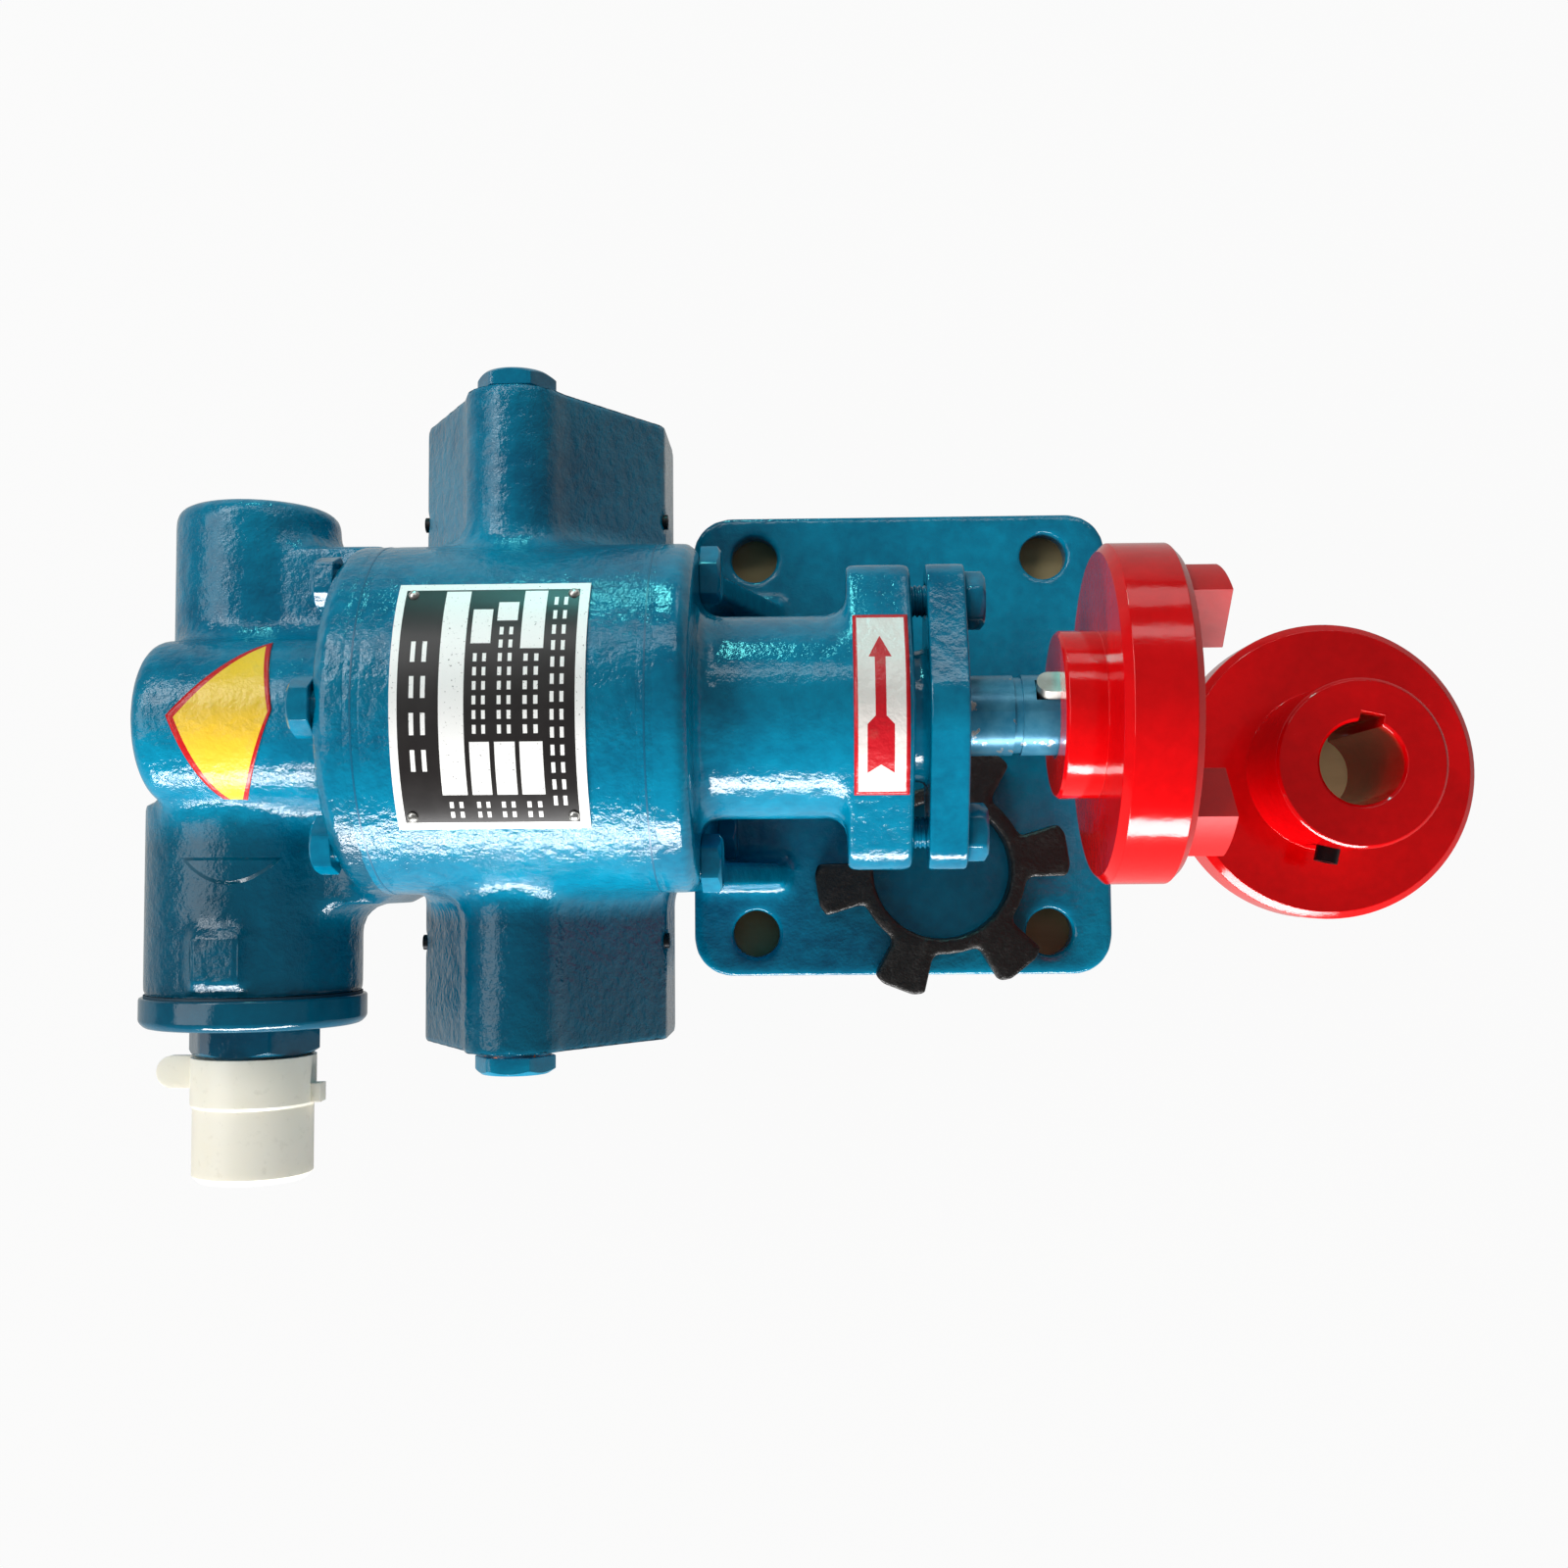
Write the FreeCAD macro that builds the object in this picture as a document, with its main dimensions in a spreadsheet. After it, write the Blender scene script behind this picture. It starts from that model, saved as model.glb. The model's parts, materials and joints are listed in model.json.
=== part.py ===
import FreeCAD, Part
import math
import os

import Sketcher
from FreeCAD import Placement, Rotation, Vector

# External gear pump with a relief valve in its rear cover, a packed shaft seal and a jaw coupling.
# Frame: +X along the drive shaft towards the coupling, +Z up, origin on the ground plane
# at the middle of the four foot holes. Millimetres.

doc = FreeCAD.newDocument("gear_pump")
sheet = doc.addObject("Spreadsheet::Sheet", "sizes")

DRIVING_SIZES = [
    # Where the two shafts are
    ("shaft_height", 112.0, "drive shaft axis above the ground"),
    ("centre_distance", 56.0, "drive axis to driven axis, the module times the teeth"),
    ("shaft_dia", 25.0, "both shafts"),
    ("running_gap", 0.04, "radial clearance of a shaft in its bush"),
    ("loose_gap", 0.5, "radial clearance where a shaft passes a casting"),
    # Pump body
    ("body_front", -79.0, "front face of the pump body along the shaft"),
    ("body_length", 82.0, "pump body between its two faces"),
    ("body_radius", 54.0, "outside of the body around each gear axis"),
    ("gasket_thick", 0.5, "paper gaskets on both faces"),
    ("tip_gap", 0.1, "radial clearance of the gear tips in the body"),
    ("side_gap", 0.05, "clearance at each end of the gears"),
    ("rest_pad_width", 40.0, "pad under the body that shares the ground with the foot"),
    ("rest_pad_inset", 10.0, "that pad, back from each face of the body"),
    # Ports, one on each side
    ("port_face", 102.5, "port faces, from the shaft plane"),
    ("port_below", 36.0, "port centres, below the drive shaft"),
    ("port_thread_dia", 41.9, "pipe thread in each port"),
    ("port_thread_depth", 26.0, "depth of the pipe thread"),
    ("port_bore_dia", 38.0, "passage from the port to the gears"),
    ("port_back", 1.0, "port centres, behind the middle of the body"),
    ("port_block_below", 38.0, "port block below the port centre"),
    ("port_shoulder", 2.0, "start of the sloping shoulders, above the port centre"),
    ("port_corner", 9.0, "rounding of the lower corners of the port block"),
    ("gauge_boss_dia", 32.0, "round boss on top of each port block"),
    ("gauge_boss_back", 3.5, "that boss, behind the port centre"),
    ("shoulder_top", 17.0, "width of the port block where its sloping shoulders end"),
    ("shoulder_rise", 13.5, "that end of the shoulders, above the boss axis"),
    ("gauge_thread_dia", 16.6, "thread of the gauge plugs"),
    ("gauge_thread_depth", 20.0, "depth of the gauge thread"),
    ("gauge_duct_dia", 5.0, "drilling from the gauge thread to the port"),
    ("plug_flats", 22.0, "gauge plug across flats"),
    ("plug_head", 5.5, "gauge plug head height"),
    ("plug_washer", 1.0, "copper washer under each gauge plug"),
    ("plug_shank", 10.0, "threaded part of the gauge plug"),
    ("side_plug_dia", 5.0, "small socket plugs in the port blocks"),
    ("side_plug_proud", 0.8, "how far the small plugs stand out"),
    ("side_plug_depth", 8.0, "screwed length of the small plugs"),
    ("side_plug_reach", 70.0, "small plugs, from the shaft plane"),
    # Cover bolts and dowels
    ("bolt_inset", 9.0, "cover bolts, in from the outline of the body"),
    ("rear_bolt_angle", 60.0, "side bolts of the rear cover, degrees from the vertical"),
    ("front_bolt_angle", 90.0, "upper bolts of the front flange, degrees from the vertical"),
    ("front_low_angle", 50.0, "lower bolts of the front flange, degrees from the vertical"),
    ("bolt_dia", 10.0, "cover bolts and gland bolts"),
    ("bolt_flats", 16.0, "bolt heads across flats"),
    ("bolt_head", 6.4, "bolt head height"),
    ("bolt_grip", 20.0, "bolt length inside the thread"),
    ("thread_spare", 2.0, "thread beyond the end of a bolt"),
    ("bolt_room", 1.0, "clearance on the diameter of a bolt hole"),
    ("head_room", 0.2, "clearance of the front bolt heads in the bracket"),
    ("dowel_dia", 8.0, "dowel pins"),
    ("dowel_inset", 9.0, "dowels, in from the outline of the body"),
    ("dowel_depth", 9.0, "dowel length in each casting"),
    # Rear cover with the relief valve housing
    ("rear_plate", 12.0, "rear cover plate"),
    ("rear_edge", 4.0, "bevel on the rear cover's edge"),
    ("bush_outer_dia", 34.0, "shaft bushes outside"),
    ("rear_bush_length", 30.0, "rear bushes"),
    ("shaft_end_room", 3.0, "free depth behind each shaft end"),
    ("rear_boss_dia", 52.0, "bearing boss on the rear cover"),
    ("boss_round", 5.0, "rounding of the cast bosses' closed ends"),
    ("rear_boss_end", -237.0, "end of the bearing boss along the shaft"),
    ("driven_boss_dia", 50.0, "boss over each driven bush"),
    ("driven_boss_cover", 7.0, "wall that closes a driven bush pocket"),
    ("valve_x", -215.5, "relief valve axis along the shaft"),
    ("valve_above_ports", 8.0, "relief valve axis above the port centres"),
    ("valve_slim_dia", 52.5, "valve housing on its closed side"),
    ("valve_wide_dia", 68.6, "valve housing on its spring side"),
    ("valve_closed_end", 73.0, "closed end of the valve housing, sideways"),
    ("valve_open_end", 85.5, "open end of the valve housing, the other way"),
    ("valve_step", 24.0, "where the wide part starts, sideways"),
    ("saddle_half", 57.0, "half width of the neck between plate and valve"),
    ("saddle_high", 46.0, "height of that neck"),
    ("lug_width", 16.0, "cast lug on the valve housing"),
    ("lug_inset", 4.0, "that lug, back from the housing's open end"),
    ("lug_proud", 3.0, "how far the cast lug stands out"),
    ("duct_dia", 14.0, "ducts from the ports to the valve"),
    ("duct_reach", 30.0, "ducts, from the shaft plane"),
    # Relief valve inside
    ("chamber_dia", 20.0, "pressure side of the valve bore"),
    ("chamber_end", 42.0, "blind end of the valve bore"),
    ("seat_dia", 30.0, "valve seat ring outside"),
    ("seat_bore_dia", 16.0, "valve seat opening"),
    ("seat_thick", 8.0, "valve seat ring"),
    ("seat_face", 8.0, "face of the seat that the poppet closes, sideways"),
    ("spring_bore_dia", 38.0, "spring chamber"),
    ("poppet_dia", 24.0, "poppet head"),
    ("poppet_length", 16.0, "poppet head and its spring spigot"),
    ("poppet_nose", 3.0, "poppet's tapered nose inside the seat"),
    ("poppet_nose_gap", 0.3, "radial clearance at the foot of that nose"),
    ("poppet_taper", 4.0, "how much the nose narrows, on the radius"),
    ("poppet_seat_gap", 0.05, "poppet to seat at rest"),
    ("spring_mean_dia", 20.0, "relief spring, middle of the wire"),
    ("spring_wire", 3.0, "relief spring wire"),
    ("spring_turns", 5.0, "relief spring turns"),
    ("spring_length", 44.0, "relief spring at its setting"),
    ("spring_plate_dia", 34.0, "plate between the spring and the screw"),
    ("spring_plate_thick", 5.0, "that plate"),
    ("spring_plate_spigot", 6.0, "its spigot inside the spring"),
    ("screw_dia", 22.0, "adjusting screw"),
    ("screw_end", 128.0, "outer end of the adjusting screw, sideways"),
    ("valve_cover_dia", 71.5, "round cover that closes the valve housing"),
    ("valve_cover_thick", 9.7, "that cover"),
    ("valve_cover_spigot", 12.0, "its threaded spigot"),
    ("valve_seal_thick", 0.8, "fibre seal under that cover"),
    ("seat_bevel", 1.0, "small bevels on turned pieces"),
    ("screw_bevel", 2.0, "bevels of the adjusting screw, the round cover and the cap"),
    ("nut_flats", 38.0, "lock nut across flats"),
    ("nut_high", 10.0, "lock nut"),
    ("nut_collar_dia", 33.0, "round collar of the lock nut, which carries the cap"),
    ("nut_collar_high", 11.0, "that collar"),
    ("cap_dia", 38.0, "plastic cap over the screw"),
    ("cap_collar_dia", 39.5, "thick rim of the plastic cap"),
    ("cap_collar_high", 15.0, "that rim"),
    ("cap_high", 39.5, "plastic cap"),
    ("cap_wall", 2.2, "end wall of the plastic cap"),
    ("cap_gap", 0.08, "radial clearance of the cap on its collar"),
    ("cap_tab_length", 12.0, "pull tab of the cap"),
    ("cap_tab_width", 10.5, "width of the pull tab"),
    ("cap_tab_thick", 3.0, "thickness of the pull tab"),
    ("cap_nib_length", 6.0, "locating nib of the cap"),
    ("cap_nib_proud", 3.0, "how far the nib stands out of the rim"),
    ("cap_bond", 0.4, "how far tab and nib run into the rim's wall"),
    # Front bracket
    ("front_plate", 12.0, "front flange of the bracket"),
    ("front_edge", 3.0, "bevel on the front flange's edge"),
    ("front_bush_length", 36.0, "front bush of the drive shaft"),
    ("driven_bush_length", 24.0, "front bush of the driven shaft"),
    ("housing_dia", 63.0, "bearing and packing housing"),
    ("ear_front", -1.5, "front face of the packing box along the shaft"),
    ("ear_thick", 20.0, "ears of the packing box"),
    ("ear_reach", 36.0, "gland bolts, from the shaft axis"),
    ("ear_end_dia", 23.0, "rounded ends of the ears"),
    ("box_dia", 41.0, "packing box bore"),
    ("box_depth", 31.5, "packing box bore"),
    ("foot_length", 154.0, "foot plate along the shaft"),
    ("foot_width", 171.0, "foot plate across the shaft"),
    ("foot_thick", 12.0, "foot plate"),
    ("foot_corner", 14.0, "corners of the foot plate"),
    ("foot_hole_dia", 17.5, "foot holes"),
    ("foot_holes_along", 108.0, "foot hole spacing along the shaft"),
    ("foot_holes_across", 140.0, "foot hole spacing across the shaft"),
    ("web_thick", 14.0, "middle web of the bracket"),
    ("web_end", -26.0, "front end of the middle web"),
    ("gusset_thick", 8.0, "side gussets"),
    ("gusset_inset", 6.0, "side gussets, in from the outline of the body"),
    ("gusset_foot", 24.0, "side gussets along the foot"),
    ("gusset_below", 20.0, "top of the side gussets, below the drive shaft"),
    # Packing and gland
    ("packing_count", 4, "packing rings"),
    ("packing_length", 26.0, "all packing rings together"),
    ("gland_plate", 12.0, "gland flange"),
    ("gland_back", 3.2, "back face of the gland flange along the shaft"),
    ("gland_mid_dia", 50.0, "middle of the gland flange"),
    ("gland_gap", 0.08, "radial clearance of the gland in its box"),
    ("gland_bolt_grip", 18.0, "gland bolt length inside the ears"),
    ("gland_bolt_room", 0.2, "clearance on the diameter in the ears"),
    # Gears, shafts and keys
    ("module", 4.0, "gear module"),
    ("teeth", 14, "teeth on each gear"),
    ("pressure_angle", 20.0, "degrees"),
    ("backlash", 0.4, "play between the flanks"),
    ("root_depth", 1.25, "tooth depth below the pitch circle, in modules"),
    ("key_width", 8.0, "all keys"),
    ("key_high", 7.0, "all keys"),
    ("key_seat", 4.0, "key depth in the shaft"),
    ("gear_key_length", 60.0, "gear keys"),
    ("shaft_groove", 29.5, "turned groove along the shaft"),
    ("shaft_groove_width", 2.7, "that groove"),
    ("shaft_groove_deep", 0.8, "that groove"),
    ("shaft_chamfer", 1.5, "ends of both shafts"),
    # Jaw coupling
    ("hub_start", 43.0, "rear end of the pump half's hub along the shaft"),
    ("hub_dia", 52.0, "hub of the pump half"),
    ("hub_length", 12.5, "hub of the pump half behind its flange"),
    ("coupling_dia", 105.0, "both coupling flanges"),
    ("coupling_flange", 22.5, "both coupling flanges"),
    ("coupling_edge", 2.5, "bevel of the flange edges"),
    ("hub_bevel", 1.0, "bevels of the hubs and their bores"),
    ("jaw_count", 3, "jaws on each half"),
    ("jaw_inner_dia", 50.0, "jaws inside"),
    ("jaw_outer_dia", 92.0, "jaws outside"),
    ("jaw_high", 13.0, "jaws"),
    ("jaw_turn", 25.0, "first jaw from the keyway, degrees"),
    ("jaw_half_angle", 14.0, "half of the angle that a jaw fills, degrees"),
    ("coupling_key_start", 36.0, "rear end of the coupling key along the shaft"),
    ("coupling_key_length", 40.0, "coupling key"),
    ("coupling_key_turn", 35.0, "key's angle from the vertical, degrees"),
    ("motor_bore_dia", 28.0, "bore of the motor half"),
    ("motor_hub_dia", 57.0, "hub of the motor half"),
    ("motor_hub_length", 38.0, "hub of the motor half"),
    ("motor_x", 150.0, "motor half on the ground"),
    ("motor_y", -13.0, "motor half on the ground"),
    ("motor_turn", 77.0, "direction of its keyway, degrees"),
    ("set_screw_dia", 8.0, "set screws of both halves"),
    ("set_screw_proud", 5.0, "how far the set screws stand out"),
    ("set_screw_socket", 4.0, "depth of their hexagon sockets"),
    ("star_hole_dia", 50.0, "rubber star inside"),
    ("star_ring_dia", 61.0, "rubber star between its lobes"),
    ("star_outer_dia", 92.0, "rubber star over its lobes"),
    ("star_lobe_width", 19.0, "lobe width at the tip"),
    ("star_thick", 13.0, "rubber star"),
    ("star_waist", 13.7, "lobe width where it meets the ring's hole"),
    ("star_bevel", 1.9, "bevel at the lobe tips"),
    ("star_tip", 11.4, "flat end of each lobe"),
    ("star_x", 14.0, "rubber star on the foot"),
    ("star_y", -47.0, "rubber star on the foot"),
    ("star_turn", 9.0, "first lobe's direction, degrees"),
    # Nameplate
    ("plate_start", -150.0, "rear edge of the nameplate along the shaft"),
    ("plate_length", 55.0, "nameplate along the shaft"),
    ("plate_half_angle", 40.0, "half of the angle that the nameplate wraps, degrees"),
    ("plate_thick", 0.8, "nameplate"),
    ("plate_gap", 0.05, "paint between the nameplate and the casting"),
    ("rivet_dia", 3.2, "nameplate rivets"),
    ("rivet_proud", 1.2, "height of their round heads"),
    ("rivet_inset", 4.5, "rivets from the nameplate's ends"),
    ("rivet_angle", 35.5, "rivets from the top, degrees"),
]


class Size:
    """A number together with the spreadsheet expression that it comes from."""

    def __init__(self, value, text):
        self.value = float(value)
        self.text = text

    def __add__(self, other):
        other = size_of(other)
        return Size(self.value + other.value, f"({self.text} + {other.text})")

    def __radd__(self, other):
        return size_of(other) + self

    def __sub__(self, other):
        other = size_of(other)
        return Size(self.value - other.value, f"({self.text} - {other.text})")

    def __rsub__(self, other):
        return size_of(other) - self

    def __mul__(self, other):
        other = size_of(other)
        return Size(self.value * other.value, f"({self.text} * {other.text})")

    def __rmul__(self, other):
        return size_of(other) * self

    def __truediv__(self, other):
        other = size_of(other)
        return Size(self.value / other.value, f"({self.text} / {other.text})")

    def __neg__(self):
        return Size(-self.value, f"(0 - {self.text})")


def size_of(number):
    """A Size stays itself; a plain number becomes one."""
    if isinstance(number, Size):
        return number
    return Size(number, repr(float(number)))


def cosine(angle):
    """Cosine of an angle in degrees; expressions count angles in degrees too."""
    angle = size_of(angle)
    return Size(math.cos(math.radians(angle.value)), f"cos({angle.text})")


def sine(angle):
    angle = size_of(angle)
    return Size(math.sin(math.radians(angle.value)), f"sin({angle.text})")


def root(number):
    return Size(math.sqrt(number.value), f"sqrt({number.text})")


def write_sheet():
    """One row for each driving size: its alias, its value and what it is."""
    sizes = {}
    for row, (alias, value, meaning) in enumerate(DRIVING_SIZES, start=1):
        sheet.set(f"A{row}", alias)
        sheet.set(f"B{row}", str(value))
        sheet.set(f"C{row}", meaning)
        sheet.setAlias(f"B{row}", alias)
        sizes[alias] = Size(value, f"sizes.{alias}")
    doc.recompute()
    return sizes


S = write_sheet()

# Places that follow from the driving sizes
DRIVEN_HEIGHT = S["shaft_height"] - S["centre_distance"]
SHAFT_R = S["shaft_dia"] / 2
BOLT_CIRCLE = S["body_radius"] - S["bolt_inset"]
DOWEL_REACH = S["body_radius"] - S["dowel_inset"]
PORT_HEIGHT = S["shaft_height"] - S["port_below"]
VALVE_HEIGHT = PORT_HEIGHT + S["valve_above_ports"]
BODY_REAR = S["body_front"] - S["body_length"]
BODY_MIDDLE = S["body_front"] - S["body_length"] / 2
PORT_MIDDLE = BODY_MIDDLE - S["port_back"]
GAUGE_MIDDLE = PORT_MIDDLE - S["gauge_boss_back"]
REAR_FACE = BODY_REAR - S["gasket_thick"]
REAR_BACK = REAR_FACE - S["rear_plate"]
FRONT_FACE = S["body_front"] + S["gasket_thick"]
FRONT_BACK = FRONT_FACE + S["front_plate"]
HUB_END = S["hub_start"] + S["hub_length"]
COUPLING_END = HUB_END + S["coupling_flange"]
DRIVE_BUSH_END = FRONT_FACE + S["front_bush_length"]
DRIVEN_BUSH_END = FRONT_FACE + S["driven_bush_length"]
REAR_BUSH_END = REAR_FACE - S["rear_bush_length"]
BOX_BOTTOM = S["ear_front"] - S["box_depth"]
PACKING_END = BOX_BOTTOM + S["packing_length"]
SEAT_BACK = S["seat_face"] + S["seat_thick"]
POPPET_FACE = S["seat_face"] - S["poppet_seat_gap"]
SPRING_START = POPPET_FACE - S["poppet_length"] / 2
SPRING_END = SPRING_START - S["spring_length"]
SCREW_START = SPRING_END - S["spring_plate_thick"]
COVER_SEAT = -S["valve_open_end"]
COVER_BACK = COVER_SEAT - S["valve_seal_thick"]
COVER_END = COVER_BACK - S["valve_cover_thick"]
NUT_END = COVER_END - S["nut_high"]


def bind(thing, prop, size):
    """Set a property and tie it to the spreadsheet."""
    thing.setExpression(prop, size_of(size).text)


def new_body(label):
    body = doc.addObject("PartDesign::Body", label)
    body.Label = label
    return body


def place(body, x=0, y=0, z=0):
    for axis, value in zip("xyz", (x, y, z)):
        bind(body, f"Placement.Base.{axis}", value)


def sketch_on(body, plane, offset=0, turn=None, rise=None):
    """A sketch on one of the body's own origin planes, moved along its normal, turned in it or
    raised along its vertical."""
    sketch = body.newObject("Sketcher::SketchObject", f"{body.Label}_sketch")
    origin_plane = next(f for f in body.Origin.OriginFeatures if f.Role == plane)
    sketch.AttachmentSupport = [(origin_plane, "")]
    sketch.MapMode = "FlatFace"
    bind(sketch, "AttachmentOffset.Base.z", offset)
    if turn is not None:
        bind(sketch, "AttachmentOffset.Rotation.Angle", turn)
    if rise is not None:
        bind(sketch, "AttachmentOffset.Base.y", rise)
    return sketch


def pin_point(sketch, geometry, end, x=None, y=None):
    """Hold one point of a sketch at its distance from the origin along one or both directions."""
    for kind, value in (("DistanceX", x), ("DistanceY", y)):
        if value is None:
            continue
        value = size_of(value)
        index = sketch.addConstraint(Sketcher.Constraint(kind, -1, 1, geometry, end, value.value))
        sketch.setExpression(f"Constraints[{index}]", value.text)


def circle(sketch, x, y, radius):
    x, y, radius = size_of(x), size_of(y), size_of(radius)
    index = sketch.addGeometry(Part.Circle(Vector(x.value, y.value, 0), Vector(0, 0, 1), radius.value))
    pin_point(sketch, index, 3, x, y)
    number = sketch.addConstraint(Sketcher.Constraint("Radius", index, radius.value))
    sketch.setExpression(f"Constraints[{number}]", radius.text)


def polygon(sketch, points):
    """A closed outline of straight lines, each corner held by its own two sizes."""
    points = [(size_of(x), size_of(y)) for x, y in points]
    lines = []
    for (x, y), (next_x, next_y) in zip(points, points[1:] + points[:1]):
        start = Vector(x.value, y.value, 0)
        end = Vector(next_x.value, next_y.value, 0)
        lines.append(sketch.addGeometry(Part.LineSegment(start, end)))
    for line, following in zip(lines, lines[1:] + lines[:1]):
        sketch.addConstraint(Sketcher.Constraint("Coincident", line, 2, following, 1))
    for line, (x, y) in zip(lines, points):
        pin_point(sketch, line, 1, x, y)


def rectangle(sketch, x0, x1, y0, y1):
    polygon(sketch, [(x0, y0), (x1, y0), (x1, y1), (x0, y1)])


def hexagon(sketch, x, y, flats):
    """A hexagon of a given width across flats with two corners along the sketch's x."""
    corner = flats / 2 / cosine(30)
    polygon(sketch, [(x + corner * cosine(60 * i), y + corner * sine(60 * i)) for i in range(6)])


def arc_outline(sketch, stretches):
    """A closed outline of lines (start, end) and arcs (start, end, centre). An arc runs
    anticlockwise, or clockwise when a fourth value says so."""
    pieces = []
    for start, end, *rest in stretches:
        start = [size_of(value) for value in start]
        end = [size_of(value) for value in end]
        first = Vector(start[0].value, start[1].value, 0)
        last = Vector(end[0].value, end[1].value, 0)
        if not rest:
            pieces.append((sketch.addGeometry(Part.LineSegment(first, last)), 1, 2, start))
            continue
        clockwise = len(rest) > 1
        if clockwise:
            first, last = last, first
        centre = [size_of(value) for value in rest[0]]
        middle = Vector(centre[0].value, centre[1].value, 0)
        a0 = math.atan2(first.y - middle.y, first.x - middle.x)
        a1 = math.atan2(last.y - middle.y, last.x - middle.x)
        ring = Part.Circle(middle, Vector(0, 0, 1), (first - middle).Length)
        arc = sketch.addGeometry(Part.ArcOfCircle(ring, a0, a1))
        ends = (2, 1) if clockwise else (1, 2)
        pieces.append((arc, *ends, start))
        # The ends are held, so one direction of the centre is all that is left to hold
        chord = last - first
        if abs(chord.y) > abs(chord.x):
            pin_point(sketch, arc, 3, x=centre[0])
        else:
            pin_point(sketch, arc, 3, y=centre[1])
    for (piece, _, last_end, _), (following, first_end, _, _) in zip(pieces, pieces[1:] + pieces[:1]):
        sketch.addConstraint(Sketcher.Constraint("Coincident", piece, last_end, following, first_end))
    for piece, first_end, _, start in pieces:
        pin_point(sketch, piece, first_end, *start)


def racetrack(sketch, radius):
    """Two half circles about the gear axes, joined by straight sides."""
    top = S["shaft_height"]
    low = DRIVEN_HEIGHT
    arc_outline(sketch, [
        ((radius, top), (-radius, top), (0, top)),
        ((-radius, top), (-radius, low)),
        ((-radius, low), (radius, low), (0, low)),
        ((radius, low), (radius, top)),
    ])


def round_ended_bar(sketch, start, end, radius, rounding):
    """Half section of a bar along the sketch's horizontal, its far end rounded by three flats."""
    start, end = size_of(start), size_of(end)
    inward = rounding if end.value < start.value else -rounding
    corners = [(start, 0), (start, radius)]
    for angle in (0, 30, 60, 90):
        corners.append((end + inward * (1 - sine(angle)), radius - rounding * (1 - cosine(angle))))
    polygon(sketch, corners + [(end, 0)])


def pad(body, sketch, length, reverse=False, middle=False):
    feature = body.newObject("PartDesign::Pad", f"{body.Label}_pad")
    feature.Profile = sketch
    bind(feature, "Length", length)
    feature.Reversed = reverse
    if middle:
        feature.SideType = "Symmetric"
    return feature


def pocket(body, sketch, length, forward=False, through=False):
    """Cut against the sketch's normal, or along it when forward."""
    feature = body.newObject("PartDesign::Pocket", f"{body.Label}_pocket")
    feature.Profile = sketch
    feature.Reversed = forward
    if through:
        feature.SideType = "Symmetric"
        feature.Type = "ThroughAll"
    else:
        bind(feature, "Length", length)
    return feature


def revolve(body, sketch, axis="H_Axis"):
    feature = body.newObject("PartDesign::Revolution", f"{body.Label}_revolution")
    feature.Profile = sketch
    feature.ReferenceAxis = (sketch, [axis])
    feature.Angle = 360
    return feature


def bevel_edges(body, feature, width, chosen):
    """Bevel the edges of a feature that the test picks by their middle point."""
    doc.recompute()
    names = []
    for number, edge in enumerate(feature.Shape.Edges, start=1):
        if chosen(edge.valueAt((edge.FirstParameter + edge.LastParameter) / 2)):
            names.append(f"Edge{number}")
    bevel = body.newObject("PartDesign::Chamfer", f"{body.Label}_bevel")
    bevel.Base = (feature, names)
    bind(bevel, "Size", width)


def near(value, size, margin=0.01):
    return abs(value - size_of(size).value) < margin


def bolt_pair(centre, angle):
    """Two bolts, one each side of a gear axis, at an angle from the vertical. A negative angle
    counts from straight below the axis."""
    across = BOLT_CIRCLE * sine(angle)
    up = BOLT_CIRCLE * cosine(angle)
    if size_of(angle).value < 0:
        across, up = -across, -up
    return [(-across, centre + up), (across, centre + up)]


def front_bolt_places():
    return (bolt_pair(S["shaft_height"], S["front_bolt_angle"])
            + bolt_pair(DRIVEN_HEIGHT, -S["front_low_angle"]))


def rear_bolt_places():
    """Six bolts: one above, one below and two on each side."""
    top = (0, S["shaft_height"] + BOLT_CIRCLE)
    bottom = (0, DRIVEN_HEIGHT - BOLT_CIRCLE)
    return (bolt_pair(S["shaft_height"], S["rear_bolt_angle"])
            + bolt_pair(DRIVEN_HEIGHT, -S["rear_bolt_angle"]) + [top, bottom])


def dowel_places():
    middle = S["shaft_height"] - S["centre_distance"] / 2
    return [(DOWEL_REACH, middle), (-DOWEL_REACH, middle)]


def drill_group(body, plane_x, places, diameter, depth, forward):
    """A group of equal holes along the shaft direction."""
    holes = sketch_on(body, "YZ_Plane", plane_x)
    for y, z in places:
        circle(holes, y, z, diameter / 2)
    return pocket(body, holes, depth, forward=forward)


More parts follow.
